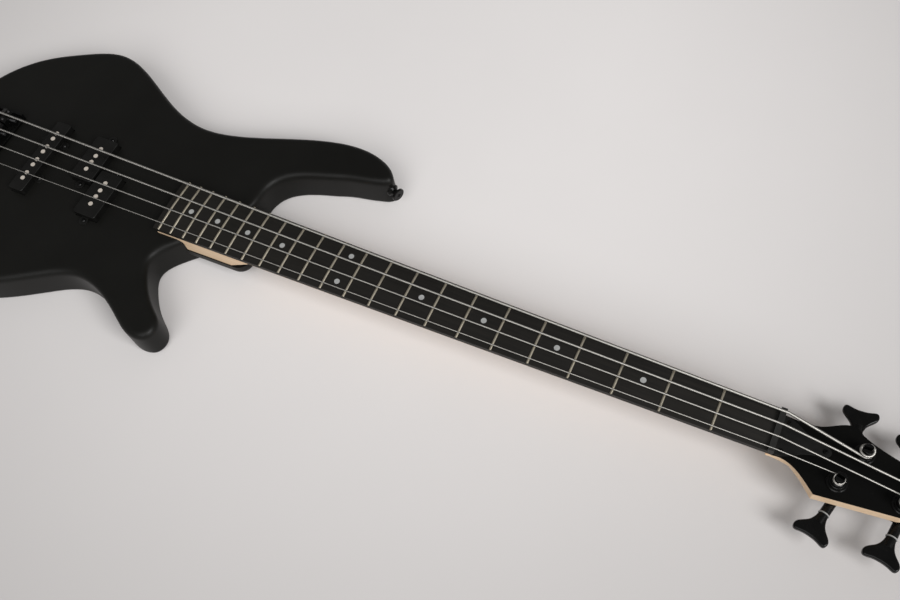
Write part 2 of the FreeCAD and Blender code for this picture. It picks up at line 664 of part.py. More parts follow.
def head_bevel(points):
    """Wedge off the lower edge of the head along points: deep beside the nut, nothing at the last point."""
    margin = 4
    last = points[-1][0]
    sections = []
    for along, side in points:
        out = math.copysign(1, side)
        rise = 0.3 + (size.head_thick - 0.8) * (1 - along / last)
        slope = 1 / size.bevel_lean
        inner = side - out * (rise + 1) / slope
        outer = side + out * margin
        x = nut_edge + along
        corners = [Vector(x, inner, head_back - 1), Vector(x, outer, head_back - 1),
                   Vector(x, outer, head_back + rise + margin * slope)]
        sections.append(Part.makePolygon(corners + corners[:1]))
    return Part.makeLoft(sections, True, True)


shaft_x = heel_start + 60
throat_x = nut_edge - 26
slope = (size.neck_nut_depth - size.neck_heel_depth) / (nut_back - shaft_x)
throat_depth = size.neck_heel_depth + slope * (throat_x - shaft_x) - size.head_step
shaft_ends = [back_section(shaft_x, wood_top, size.neck_heel_depth),
              back_section(nut_back, wood_top, size.neck_nut_depth)]
throat_ends = [back_section(throat_x, head_face, throat_depth - 1.5, 3),
               back_section(nut_back + 14, head_face, size.head_thick, 2)]
shaft = fixed("neck_shaft", Part.makeLoft(shaft_ends, True, True))
throat = fixed("neck_throat", Part.makeLoft(throat_ends, True, True))
heel_blank = fixed("heel_blank", heel_prism(0, pocket_floor, wood_top, heel_end))


def heel_slope():
    """The wedge below the slope at the end of the heel, longer than the slope at both of its ends."""
    wide = size.board_last_width
    foot = Vector(heel_end - size.heel_ramp, -wide, pocket_floor)
    way = Vector(size.heel_ramp, 0, size.heel_thick - 1.5)
    low = foot - way * 0.1
    high = foot + way * 1.1
    corners = [low, high, Vector(high.x, -wide, low.z)]
    return Part.Face(Part.makePolygon(corners + corners[:1])).extrude(Vector(0, 2 * wide, 0))


heel = cut("heel", heel_blank, [fixed("heel_slope", heel_slope())])
head_blank = fixed("head_blank", Part.Face(head_outline()).extrude(Vector(0, 0, size.head_thick)))
head = cut("head", head_blank, [fixed("lower_bevel", head_bevel(LOWER_NECK)),
                                fixed("upper_bevel", head_bevel(UPPER_NECK))])
neck_blank = fuse("neck_blank", [shaft, throat, heel, head])

rod_level = wood_top - size.rod_depth
rod_start = heel_start + 12
rod_cover_start = nut_back + 0.6
rod_cover_end = rod_cover_start + size.rod_cover_length
rod_end = rod_cover_start + 20
half_cover = size.rod_cover_width / 2
cover_spots = [(rod_cover_start + 5, half_cover - 4.5), (rod_cover_start + 5, 4.5 - half_cover),
               (rod_cover_end - 5, 0)]
small_places += [at(x, y, head_face + size.rod_cover_thick) for x, y in cover_spots]


def tuner_place(letter):
    """Frame of a tuner: origin at its post on the head's face, +Y out along the key's shaft."""
    string = strings[letter]
    sweep = getattr(size, f"sweep_{letter}")
    turn = sweep if string.hand > 0 else 180 - sweep
    return Placement(Vector(string.post_x, string.post_y, head_face), Rotation(Vector(0, 0, 1), turn))


# All four tuners are alike: the worm is on the nut's side of the upper posts and on the tip's side of
# the lower ones.
for letter in STRINGS:
    strings[letter].worm_sign = -1
case_ear = size.gear_radius + size.mesh_gap + size.case_wall + size.small_head + 0.15
case_spots = [(case_ear, 2 - size.case_length / 2), (case_ear, size.case_length / 2 - 2)]
for letter in STRINGS:
    for x, y in case_spots:
        spot = Vector(-strings[letter].worm_sign * x, y, -size.head_thick - size.case_plate)
        under = Placement(spot, AXIS["-Z"])
        small_places.append(tuner_place(letter).multiply(under))


def neck_cavities():
    """Rod channel, adjusting pocket and every hole in the neck."""
    tools = [
        block("rod_channel", f"{nut_edge} + nut_thick - {rod_start}", "2 * rod_radius + 2 * seat_gap",
              "rod_depth + rod_radius + seat_gap",
              (rod_start, -size.rod_radius - size.seat_gap, rod_level - size.rod_radius - size.seat_gap)),
        block("rod_pocket", "rod_cover_length - 10", "2 * rod_nut_radius + 3",
              "rod_depth + rod_nut_radius + 0.6",
              (nut_back - 0.01, -size.rod_nut_radius - 1.5, rod_level - size.rod_nut_radius - 0.6)),
    ]
    for letter in STRINGS:
        spot = tuner_place(letter).Base
        tools.append(rod(f"post_hole_{letter}", "bushing_sleeve + seat_gap", "head_thick + 2",
                         (spot.x, spot.y, head_back - 1)))
    for i, (x, y) in enumerate(BOLTS):
        depth = bolt_seat + bolt_length
        bit = Part.makeCylinder(size.bolt_shank + size.seat_gap, depth, Vector(x, y, 0))
        tools.append(fixed(f"neck_bolt_hole_{i}", bit))
    for i, place in enumerate(small_places):
        start = Placement(place.multVec(Vector(0, 0, -size.small_length - 0.5)), place.Rotation)
        bit = Part.makeCylinder(size.small_shank + size.seat_gap, size.small_length + 0.5)
        tools.append(fixed(f"head_screw_hole_{i}", placed(bit, start)))
    return tools


publish(cut("neck_cut", neck_blank, neck_cavities()), "neck")

# Fingerboard, frets, dots and nut.
DOT_FRETS = (3, 5, 7, 9, 12, 15, 17, 19, 21)
dot_spots = []
for number in DOT_FRETS:
    middle = (fret_place(number) + fret_place(number - 1)) / 2
    sides = (size.octave_spread / 2, -size.octave_spread / 2) if number == 12 else (0,)
    dot_spots += [(middle, side) for side in sides]
dot_floor = crown - size.dot_depth - 0.5


def crown_solid(radius):
    """The cylinder that gives the fingerboard its crown."""
    start = Vector(-100, 0, crown - size.board_radius)
    return Part.makeCylinder(radius, 2 * size.scale_length, start, Vector(1, 0, 0))


def ridge(profile, x, inset):
    """A profile of X and height carried across the fingerboard's crown at x, short of its edges by inset."""
    centre = Vector(x, 0, crown - size.board_radius)
    reach = math.degrees(math.asin((half_width(x) - inset) / size.board_radius))
    piece = profile.copy()
    piece.translate(Vector(x, 0, crown))
    piece.rotate(centre, Vector(1, 0, 0), -reach)
    return piece.revolve(centre, Vector(1, 0, 0), 2 * reach)


def fret_profile():
    half = size.fret_width / 2
    tang = size.tang_width / 2
    dome = Part.Arc(Vector(half, 0, 0), Vector(0, 0, size.fret_rise), Vector(-half, 0, 0)).toShape()
    path = [Vector(-half, 0, 0), Vector(-tang, 0, 0), Vector(-tang, 0, -size.tang_depth),
            Vector(tang, 0, -size.tang_depth), Vector(tang, 0, 0), Vector(half, 0, 0)]
    return Part.Face(Part.Wire([dome] + Part.makePolygon(path).Edges))


def slot_profile():
    wide = size.tang_width / 2 + size.seat_gap
    deep = size.tang_depth + size.seat_gap
    path = [Vector(-wide, 0, -deep), Vector(wide, 0, -deep), Vector(wide, 0, 1), Vector(-wide, 0, 1)]
    return Part.Face(Part.makePolygon(path + path[:1]))


fret_places = [fret_place(number) for number in range(1, FRETS + 1)]
board_plan = padded("board_plan", [
    (f"{board_end}", "0 - board_last_width / 2"), ("scale_length", "0 - board_nut_width / 2"),
    ("scale_length", "board_nut_width / 2"), (f"{board_end}", "board_last_width / 2")], "board_thick")
board_plan.Placement = at(0, 0, wood_top)
board_crown = doc.addObject("Part::Cylinder", "board_crown")
bind(board_crown, Radius="board_radius", Height="scale_length + 200")
board_crown.Placement = at(-100, 0, crown - size.board_radius, "+X")
board_blank = doc.addObject("Part::Common", "board_blank")
board_blank.Base = board_plan
board_blank.Tool = board_crown
slots = fixed("fret_slots", Part.makeCompound([ridge(slot_profile(), x, -2) for x in fret_places]))
dot_holes = drilled("dot_holes", size.dot_radius + size.seat_gap, size.dot_depth + 3,
                    [at(x, y, dot_floor) for x, y in dot_spots])
side_level = wood_top + size.board_thick / 2
side_places = [at(x, half_width(x) - 2, side_level, "+Y") for x, y in dot_spots if y >= 0]
side_holes = drilled("side_dot_holes", size.side_dot_radius + size.seat_gap, 4, side_places)
publish(cut("board_cut", board_blank, [slots, dot_holes, side_holes]), "fingerboard")
fret_bars = [ridge(fret_profile(), x, size.fret_inset) for x in fret_places]
publish(fixed("fret_set", Part.makeCompound(fret_bars)), "frets")


def dot_disc(x, y):
    """A dot whose face follows the crown."""
    pillar = Part.makeCylinder(size.dot_radius, size.dot_depth + 3, Vector(x, y, dot_floor))
    return pillar.common(crown_solid(size.board_radius))


publish(fixed("dot_set", Part.makeCompound([dot_disc(x, y) for x, y in dot_spots])), "position_dots")
side_master = rod("side_dot", "side_dot_radius", "1.9", (0, 0, 0))
publish(copies("side_dot_set", side_master, side_places), "side_dots")

nut_blank = block("nut_blank", "nut_thick", "board_nut_width", "board_thick + fret_rise + nut_rise",
                  (nut_edge, -size.board_nut_width / 2, wood_top))
string_level = fret_top + size.bridge_lift


def string_line(letter):
    """Ends of a string's straight run: behind its saddle's crown and just behind the nut."""
    string = strings[letter]
    rest = Vector(string.crown_x - size.level_run, string.bridge_side, string_level + string.radius)
    nut = Vector(nut_back + 1.5, string.nut_side, fret_top + size.nut_lift + string.radius)
    return rest, nut


nut_slots = []
for letter in STRINGS:
    rest, bend = string_line(letter)
    way = (bend - rest).normalize()
    reach = strings[letter].radius + size.running_gap
    groove = Part.makeCylinder(reach, 30, bend - way * 20, way)
    opening = groove.copy()
    opening.translate(Vector(0, 0, reach))
    gate = Part.makeBox(30, 2 * reach, 10, Vector(bend.x - 20, bend.y - reach, bend.z))
    nut_slots.append(fixed(f"nut_slot_{letter}", groove.fuse([opening, gate])))
publish(cut("nut_cut", nut_blank, nut_slots), "nut")

# Truss rod, its adjusting nut and the cover on the head.
rod_bar = rod("truss_rod_bar", "rod_radius", f"{rod_end - rod_start}", (rod_start, 0, rod_level), "+X")
publish(rod_bar, "truss_rod")
rod_nut = turned("rod_nut_turn", [
    ("rod_radius + running_gap", "0"), ("rod_nut_radius * 0.95", "0"), ("rod_nut_radius", "0.6"),
    ("rod_nut_radius", "rod_nut_length - 0.6"), ("rod_nut_radius * 0.95", "rod_nut_length"),
    ("rod_radius + running_gap", "rod_nut_length")])
rod_nut.Placement = at(rod_end - 8, 0, rod_level, "+X")
publish(rod_nut, "truss_rod_nut")


def cover_outline():
    """A bell: straight behind the nut, drawn in to a round nose."""
    half = size.rod_cover_width / 2
    length = size.rod_cover_length
    side = [(0, half), (0.2 * length, 0.93 * half), (0.45 * length, 0.58 * half),
            (0.75 * length, 0.34 * half), (0.94 * length, 0.22 * half), (length, 0)]
    points = side + [(along, -across) for along, across in reversed(side[:-1])]
    spline = Part.BSplineCurve()
    spline.interpolate([Vector(rod_cover_start + along, across, head_face) for along, across in points])
    base = Part.makeLine(spline.EndPoint, spline.StartPoint)
    return Part.Face(Part.Wire([spline.toShape(), base]))


cover_blank = fixed("rod_cover_blank", cover_outline().extrude(Vector(0, 0, size.rod_cover_thick)))
cover_holes = drilled("rod_cover_holes", size.small_shank + size.seat_gap, size.rod_cover_thick + 2,
                      [at(x, y, head_face - 1) for x, y in cover_spots])
publish(cut("rod_cover_cut", cover_blank, [cover_holes]), "truss_rod_cover")

# Neck ferrules and screws, set into the back.
ferrule = turned("ferrule", [
    ("bolt_shank + seat_gap", "bolt_rise + 0.4"), ("bolt_head + loose_gap", "bolt_rise + 0.4"),
    ("bolt_head + loose_gap", "0.2"), ("ferrule_radius - 0.6", "0.2"), ("ferrule_radius", "0.8"),
    ("ferrule_radius", "ferrule_thick"), ("bolt_shank + seat_gap", "ferrule_thick")])
publish(copies("ferrule_set", ferrule, [at(x, y, 0) for x, y in BOLTS]), "neck_ferrules")
publish(copies("neck_screw_set", neck_screw, bolt_places), "neck_screws")

# Pickups: cover with ears, coil block, poles and foam pad.
coil_top = face + size.pickup_rise - size.cover_wall
cover_low = face - size.pickup_sink
coil_parts = []
pad_parts = []
pole_parts = []
for name, pickup in PICKUPS.items():
    low = (pickup.x - pickup.width / 2, pickup.y - pickup.length / 2, cover_low)
    shell = block(name + "_block", pickup.wide, pickup.long, "pickup_rise + pickup_sink", low)
    shell = soften(name + "_shell", shell, size.cover_round, upright)
    shell = soften(name + "_soft_shell", shell, 0.8, on_level(face + size.pickup_rise))
    ears = [rod(f"{name}_ear_{i}", "ear_radius", "ear_thick", (x, y, face))
            for i, (x, y) in enumerate(pickup.ears)]
    inner = (low[0] + size.cover_wall, low[1] + size.cover_wall, cover_low - 1)
    hollow = block(name + "_hollow", pickup.wide + " - 2 * cover_wall", pickup.long + " - 2 * cover_wall",
                   "pickup_rise + pickup_sink - cover_wall + 1", inner)
    holes = drilled(name + "_pole_holes", size.pole_radius + size.seat_gap, 40,
                    [at(x, y, face) for x, y in pickup.poles])
    screws = drilled(name + "_ear_holes", size.small_shank + size.seat_gap, size.ear_thick + 2,
                     [at(x, y, face - 1) for x, y in pickup.ears])
    publish(cut(name + "_cover_cut", fuse(name + "_cover_blank", [shell] + ears), [hollow, holes, screws]),
            "pickup_cover_" + name)
    coil_low = (inner[0] + size.loose_gap, inner[1] + size.loose_gap, cover_low)
    coil = block(name + "_coil", pickup.wide + " - 2 * cover_wall - 2 * loose_gap",
                 pickup.long + " - 2 * cover_wall - 2 * loose_gap",
                 "pickup_rise + pickup_sink - cover_wall", coil_low)
    bores = drilled(name + "_coil_bores", size.pole_radius + size.seat_gap, 60,
                    [at(x, y, cover_low - 5) for x, y in pickup.poles])
    coil_parts.append(cut(name + "_coil_cut", coil, [bores]))
    pad_parts.append(block(name + "_pad", pickup.wide + " - 2 * cover_wall",
                           pickup.long + " - 2 * cover_wall", "cavity_depth - pickup_sink",
                           (inner[0], inner[1], cavity_floor)))
    for i, (x, y) in enumerate(pickup.poles):
        pole_parts.append(rod(f"{name}_pole_{i}", "pole_radius", "pickup_rise + pickup_sink + pole_rise",
                              (x, y, cover_low)))
publish(group("coil_set", coil_parts), "pickup_coils")
publish(group("pole_set", pole_parts), "pickup_poles")
publish(group("pad_set", pad_parts), "pickup_pads")
publish(copies("pickup_screw_set", ear_screw, ear_places), "pickup_screws")

# Bridge: plate with rear wall and side rails, sliding saddles and their screws.
set_level = plate_top + size.set_rise
anchor_level = plate_top + size.anchor_rise
half_plate = plate_width / 2
wall_front = -size.wall_place + size.wall_thick / 2
wall_rear = -size.wall_place - size.wall_thick / 2
saddle_low = plate_top + size.loose_gap
bridge_base = block("bridge_base", "plate_front + plate_back", f"{plate_width}", "plate_thick",
                    (-size.plate_back, -half_plate, face))
bridge_wall = block("bridge_wall", "wall_thick", f"{plate_width}", "wall_rise",
                    (wall_rear, -half_plate, plate_top))
rail_sides = (-half_plate, half_plate - size.rail_width)
rails = [block(f"bridge_rail_{i}", "wall_place + plate_front", "rail_width", "rail_rise",
               (-size.wall_place, y, plate_top)) for i, y in enumerate(rail_sides)]
bridge_holes = []
for letter in STRINGS:
    y = strings[letter].bridge_side
    bridge_holes.append(rod(f"anchor_hole_{letter}", f"string_{letter}_thick / 2 + loose_gap",
                            "wall_thick + 2", (wall_rear - 1, y, anchor_level), "+X"))
    bridge_holes.append(rod(f"set_hole_{letter}", "set_radius + running_gap", "wall_thick + 2",
                            (wall_rear - 1, y, set_level), "+X"))
for i, (x, y) in enumerate(bridge_spots):
    sink = doc.addObject("Part::Cone", f"bridge_sink_{i}")
    bind(sink, Radius1="wood_shank + seat_gap", Radius2="wood_head + seat_gap", Height="wood_cone")
    sink.Placement = at(x, y, plate_top - size.wood_cone)
    bridge_holes.append(sink)
    bridge_holes.append(rod(f"bridge_hole_{i}", "wood_shank + seat_gap", "plate_thick + 2", (x, y, face - 1)))
bridge_blank = fuse("bridge_blank", [bridge_base, bridge_wall] + rails)
publish(cut("bridge_cut", bridge_blank, bridge_holes), "bridge_plate")
publish(copies("wood_screw_set", wood_screw, wood_places), "body_screws")

saddle_rise = string_level - size.saddle_gap - saddle_low
for letter in STRINGS:
    string = strings[letter]
    saddle = padded(f"saddle_{letter}_side", [
        ("0 - saddle_back", "0"), ("saddle_front", "0"), ("saddle_front", f"{saddle_rise} - 3"),
        ("1", f"{saddle_rise}"), ("0 - 1", f"{saddle_rise}"), ("0 - saddle_back", f"{saddle_rise} - 2.6")],
        f"{saddle_width}", "XZ_Plane")
    saddle.Placement = at(string.crown_x, string.bridge_side + saddle_width / 2, saddle_low)
    thread = rod(f"saddle_thread_{letter}", "set_radius + running_gap", "saddle_front + saddle_back + 4",
                 (string.crown_x - size.saddle_back - 2, string.bridge_side, set_level), "+X")
    spots = [(string.crown_x + 1.2, string.bridge_side + side * size.set_spread / 2) for side in (1, -1)]
    bores = [rod(f"height_hole_{letter}_{i}", "set_radius + seat_gap", f"{saddle_rise} + 4",
                 (x, y, saddle_low - 2)) for i, (x, y) in enumerate(spots)]
    publish(cut(f"saddle_{letter}_cut", saddle, [thread] + bores), f"saddle_{letter}")
    pegs = [rod(f"height_peg_{letter}_{i}", "set_radius", f"{saddle_rise + size.loose_gap - 1.2}",
                (x, y, plate_top + size.running_gap)) for i, (x, y) in enumerate(spots)]
    publish(group(f"height_pegs_{letter}", pegs), f"height_screws_{letter}")
    screw = turned(f"set_screw_{letter}", [
        ("0", f"{wall_rear - 2.6 - size.loose_gap}"), ("set_head", f"{wall_rear - 2.6 - size.loose_gap}"),
        ("set_head", f"{wall_rear - size.loose_gap}"), ("set_radius", f"{wall_rear - size.loose_gap}"),
        ("set_radius", "plate_front - 3"), ("0", "plate_front - 3")])
    screw.Placement = at(0, string.bridge_side, set_level, "+X")
    publish(screw, f"intonation_screw_{letter}")

# Strings: ball end, bend behind the saddle, straight run, bend at the nut and turns round the post.

def biarc(start, start_way, end, end_way):
    """Two arcs that leave start and reach end along the given unit directions."""
    gap = end - start
    ways = start_way + end_way
    bend = 2 * (1 - start_way.dot(end_way))
    if bend < 1e-9:
        return [Part.makeLine(start, end)]
    along = gap.dot(ways)
    arm = (math.sqrt(along * along + bend * gap.dot(gap)) - along) / bend
    middle = (start + end + (start_way - end_way) * arm) * 0.5
    return [tangent_arc(start, start_way, middle), tangent_arc(end, end_way * -1, middle, True)]


def tangent_arc(start, way, end, backwards=False):
    """The arc from start to end that leaves start along way, drawn from end to start when backwards."""
    chord = end - start
    across = chord - way * chord.dot(way)
    if across.Length < 1e-7:
        return Part.makeLine(end, start) if backwards else Part.makeLine(start, end)
    across.normalize()
    radius = chord.dot(chord) / (2 * chord.dot(across))
    centre = start + across * radius
    mid = start + chord * 0.5 - centre
    mid.normalize()
    point = centre + mid * (radius if chord.dot(way) > 0 else -radius)
    return (Part.Arc(end, point, start) if backwards else Part.Arc(start, point, end)).toShape()


def bent(points, radius):
    """Straight runs through points, with an arc of the given radius at each inner point."""
    edges = []
    last = points[0]
    for before, corner, after in zip(points, points[1:], points[2:]):
        incoming = (corner - before).normalize()
        outgoing = (after - corner).normalize()
        turn = incoming.getAngle(outgoing)
        trim = radius * math.tan(turn / 2)
        start = corner - incoming * trim
        end = corner + outgoing * trim
        edges.append(Part.makeLine(last, start))
        edges.append(tangent_arc(start, incoming, end))
        last = end
    return edges, last


def string_path(letter):
    """Path of a string from its ball end to the last turn on its post."""
    string = strings[letter]
    coil_radius = size.post_radius + size.loose_gap + string.radius
    pitch = 2 * string.radius + size.turn_gap
    turns = 1.5 if string.radius > 1 else 2.5
    ball = Vector(wall_rear - size.ball_length - size.loose_gap, string.bridge_side, anchor_level)
    wall = Vector(wall_front + 2, string.bridge_side, anchor_level)
    rest, nut = string_line(letter)
    base = head_face + size.bushing_rise + size.loose_gap + size.post_rim + string.radius + 0.8
    post = Vector(string.post_x, string.post_y, base)
    back = math.atan2(nut.y - post.y, nut.x - post.x)
    reach = math.hypot(nut.x - post.x, nut.y - post.y)
    first = back + string.hand * math.acos(coil_radius / reach)
    touch = post + Vector(math.cos(first), math.sin(first), 0) * coil_radius
    edges, last = bent([ball, wall, rest, nut, touch], 6 * string.radius)
    edges.append(Part.makeLine(last, touch))
    way = (touch - nut).normalize()
    spot = touch
    quarter = math.pi / 2
    for step in range(1, int(4 * turns) + 1):
        angle = first + string.hand * step * quarter
        out = Vector(math.cos(angle), math.sin(angle), 0)
        turn_way = Vector(-out.y * string.hand, out.x * string.hand, pitch / (math.tau * coil_radius))
        turn_way.normalize()
        there = post + out * coil_radius + Vector(0, 0, pitch * step / 4)
        edges += biarc(spot, way, there, turn_way)
        spot = there
        way = turn_way
    return edges


def turn_clearance(edges, radius):
    """Least gap of a string's turns to themselves, measured on points along the path."""
    points = [(length, spot) for length, spot in walk(edges, radius)]
    least = 1e9
    for i, (here, spot) in enumerate(points):
        for there, other in points[i + 1:]:
            if there - here > 8 * radius:
                least = min(least, spot.distanceToPoint(other))
    return least - 2 * radius


def walk(edges, step):
    """Points along the edges with the distance travelled."""
    gone = 0
    for edge in edges:
        for spot in edge.discretize(max(2, int(edge.Length / step) + 1)):
            yield gone + (spot - edge.valueAt(edge.FirstParameter)).Length, spot
        gone += edge.Length


for letter in STRINGS:
    radius = strings[letter].radius
    path = string_path(letter)
    start = path[0].Vertexes[0].Point
    ring = Part.Wire(Part.makeCircle(radius, start, Vector(1, 0, 0)))
    tube = Part.Wire(path).makePipeShell([ring], True, False)
    length = sum(edge.Length for edge in path)
    turns = [edge for edge in path if edge.BoundBox.XMin > nut_back + 20]
    ratio = tube.Volume / (math.pi * radius ** 2 * length)
    print(f"string {letter}: length {length:.1f}, volume ratio {ratio:.4f},"
          f" least gap of its turns {turn_clearance(turns, radius):.2f}")
    ball = Part.makeCylinder(size.ball_radius, size.ball_length, start, Vector(1, 0, 0))
    publish(fixed(f"string_{letter}_tube", tube.fuse(ball)), f"string_{letter}")

# Tuners: bushing and post on the face, case with worm and gear on the back, key at the side.
bushing = turned("bushing", [
    ("post_shaft + running_gap", "0 - head_thick + 1"), ("bushing_sleeve", "0 - head_thick + 1"),
    ("bushing_sleeve", "0"), ("bushing_radius", "0"), ("bushing_radius", "bushing_rise * 0.3"),
    ("bushing_radius - 0.8", "bushing_rise * 0.5"), ("bushing_collar", "bushing_rise * 0.5"),
    ("bushing_collar", "bushing_rise - 0.4"), ("bushing_collar - 0.5", "bushing_rise"),
    ("post_shaft + running_gap", "bushing_rise")])
publish(copies("bushing_set", bushing, [tuner_place(letter) for letter in STRINGS]), "tuner_bushings")

post_foot = size.bushing_rise + size.loose_gap
post_top = post_foot + 2 * size.post_rim + size.post_waist
case_floor = -size.head_thick - size.case_depth
gear_low = case_floor + size.case_wall + size.loose_gap
gear_high = gear_low + size.gear_thick
worm_level = (gear_low + gear_high) / 2
worm_side = size.gear_radius + size.worm_radius + size.mesh_gap
for letter in STRINGS:
    place = tuner_place(letter)
    spindle = turned(f"post_turn_{letter}", [
        ("0", f"{case_floor + 0.6}"), ("post_shaft", f"{case_floor + 0.6}"), ("post_shaft", f"{gear_low}"),
        ("gear_radius", f"{gear_low}"), ("gear_radius", f"{gear_high}"), ("post_shaft", f"{gear_high}"),
        ("post_shaft", f"{post_foot}"), ("post_radius + 1.4", f"{post_foot}"),
        ("post_radius + 1.4", f"{post_foot} + post_rim * 0.6"), ("post_radius", f"{post_foot} + post_rim"),
        ("post_radius", f"{post_foot} + post_rim + post_waist"),
        ("post_radius + 1", f"{post_foot} + post_rim * 1.4 + post_waist"),
        ("post_radius + 1", f"{post_top - 0.4}"), ("post_radius + 0.6", f"{post_top}"), ("0", f"{post_top}")])
    slot = block(f"post_slot_{letter}", "2 * post_radius + 6", "2.9", "post_waist * 0.8",
                 (-size.post_radius - 3, -1.45, post_top - 0.8 * size.post_waist + 0.01))
    post = cut(f"post_cut_{letter}", spindle, [slot])
    post.Placement = place
    publish(post, f"tuner_post_{letter}")


def case_shape(sign):
    """A tuner's case: foot plate, box and sleeve, hollow for the gear and the worm on side sign."""
    side = sign * worm_side
    gear_wide = size.gear_radius + size.mesh_gap + size.case_wall
    worm_wide = worm_side + size.worm_radius + size.mesh_gap + size.case_wall
    near, far = sorted((-sign * gear_wide, sign * worm_wide))
    half = size.case_length / 2
    floor = case_floor
    back = -size.head_thick
    outer = Part.makeBox(far - near, size.case_length, size.case_depth - size.case_plate,
                         Vector(near, -half, floor))
    outer = outer.makeFillet(2, [edge for edge in outer.Edges if upright(edge)])
    near, far = sorted((-sign * (case_ear + size.small_head + 0.6), sign * (worm_wide + 0.4)))
    foot = Part.makeBox(far - near, size.case_length + 1, size.case_plate,
                        Vector(near, -half - 0.5, back - size.case_plate))
    foot = foot.makeFillet(2.5, [edge for edge in foot.Edges if upright(edge)])
    along = Vector(0, 1, 0)
    sleeve = Part.makeCylinder(size.key_collar, size.collar_reach, Vector(side, 0, worm_level), along)
    solid = outer.fuse([foot, sleeve])
    gear_room = Part.makeCylinder(size.gear_radius + size.mesh_gap, 40, Vector(0, 0, floor + size.case_wall))
    floor_bore = Part.makeCylinder(size.post_shaft + size.running_gap, 40, Vector(0, 0, floor + 0.5))
    worm_half = size.worm_length / 2 + size.mesh_gap
    worm_room = Part.makeCylinder(size.worm_radius + size.mesh_gap, 2 * worm_half,
                                  Vector(side, -worm_half, worm_level), along)
    shaft_bore = Part.makeCylinder(size.key_shaft + size.running_gap, size.collar_reach + half,
                                   Vector(side, -half + size.case_wall, worm_level), along)
    screw_holes = [Part.makeCylinder(size.small_shank + size.seat_gap, 30, Vector(-sign * x, y, back - 20))
                   for x, y in case_spots]
    return solid.cut(gear_room.fuse([floor_bore, worm_room, shaft_bore] + screw_holes))


cases = [placed(case_shape(strings[letter].worm_sign), tuner_place(letter)) for letter in STRINGS]
publish(fixed("case_set", Part.makeCompound(cases)), "tuner_cases")


def key_shape(sign):
    """A key: worm, shaft, stem and a flat blade with two lobes."""
    side = sign * worm_side
    base = size.collar_reach + size.washer_thick + 2 * size.running_gap
    span = size.key_span / 2
    along = Vector(0, 1, 0)
    shaft_low = size.case_wall + size.running_gap - size.case_length / 2
    worm = Part.makeCylinder(size.worm_radius, size.worm_length,
                             Vector(side, -size.worm_length / 2, worm_level), along)
    spindle = Part.makeCylinder(size.key_shaft, base + 8 - shaft_low,
                                Vector(side, shaft_low, worm_level), along)
    stem = Part.makeCylinder(size.key_stem, 0.36 * size.key_length, Vector(side, base, worm_level), along)
    shares = [(0.27, 0.03), (0.32, 0.2), (0.48, 0.42), (0.8, 0.62), (0.99, 0.82), (0.9, 0.985), (0.5, 0.965),
              (0, 0.93)]
    right = [(across * span, base + reach * size.key_length) for across, reach in shares]
    points = right + [(-across, reach) for across, reach in reversed(right[:-1])]
    low = worm_level - size.key_thick / 2
    spline = Part.BSplineCurve()
    spline.interpolate([Vector(side + across, reach, low) for across, reach in points])
    foot = Part.makeLine(spline.EndPoint, spline.StartPoint)
    blade = Part.Face(Part.Wire([spline.toShape(), foot])).extrude(Vector(0, 0, size.key_thick))
    rims = [edge for edge in blade.Edges if edge.Length > 2 * size.key_span]
    blade = blade.makeFillet(size.key_thick * 0.3, rims)
    return worm.fuse([spindle, stem, blade])


def washer_shape(sign):
    """A thin ring between the sleeve and the key."""
    base = Vector(sign * worm_side, size.collar_reach + size.running_gap, worm_level)
    along = Vector(0, 1, 0)
    ring = Part.makeCylinder(size.key_collar + 0.5, size.washer_thick, base, along)
    return ring.cut(Part.makeCylinder(size.key_shaft + size.running_gap, size.washer_thick, base, along))


washers = []
for letter in STRINGS:
    place = tuner_place(letter)
    key = fixed(f"key_{letter}", key_shape(strings[letter].worm_sign))
    key.Placement = place
    publish(key, f"tuner_key_{letter}")
    washers.append(placed(washer_shape(strings[letter].worm_sign), place))
publish(fixed("washer_set", Part.makeCompound(washers)), "tuner_washers")

# Controls, jack and lid.
knob_low = face + 1
shaft_top = knob_low + size.knob_rise - size.knob_wall
ring_rise = 2.2
for name, (x, y) in CONTROLS.items():
    knob = turned(name + "_knob_turn", [
        ("pot_shaft + seat_gap", "knob_rise * 0.4"), ("knob_radius - knob_wall", "knob_rise * 0.4"),
        ("knob_radius - knob_wall", "0"), ("knob_radius", "0"), ("knob_radius", "knob_rise * 0.12"),
        ("knob_radius * 0.95", "knob_rise * 0.2"), ("knob_radius * 0.9", "knob_rise * 0.92"),
        ("knob_radius * 0.83", "knob_rise"), ("0", "knob_rise"), ("0", "knob_rise - knob_wall"),
        ("pot_shaft + seat_gap", "knob_rise - knob_wall")])
    knob.Placement = at(x, y, knob_low)
    publish(knob, name + "_knob")
    stem = rod(name + "_stem", "pot_shaft", f"{shaft_top - 0.1 - cavity_roof + 0.7 * size.pot_thick}",
               (x, y, cavity_roof - 0.7 * size.pot_thick))
    publish(stem, name + "_shaft")
pot = turned("pot", [
    ("0", "0 - pot_thick"), ("pot_radius", "0 - pot_thick"), ("pot_radius", "0"), ("pot_thread", "0"),
    ("pot_thread", "face_wood + 4.6"), ("pot_shaft + running_gap", "face_wood + 4.6"),
    ("pot_shaft + running_gap", "0 - pot_thick * 0.7 - running_gap"),
    ("0", "0 - pot_thick * 0.7 - running_gap")])
publish(copies("pot_set", pot, [at(x, y, cavity_roof) for x, y in CONTROLS.values()]), "pot_cases")
ring = turned("pot_ring", [
    ("pot_thread + seat_gap", "0"), ("pot_nut + 1.4", "0"), ("pot_nut + 1.4", "0.5"), ("pot_nut", "0.5"),
    ("pot_nut", f"{ring_rise}"), ("pot_thread + seat_gap", f"{ring_rise}")])
publish(copies("pot_ring_set", ring, [at(x, y, face) for x, y in CONTROLS.values()]), "pot_nuts")

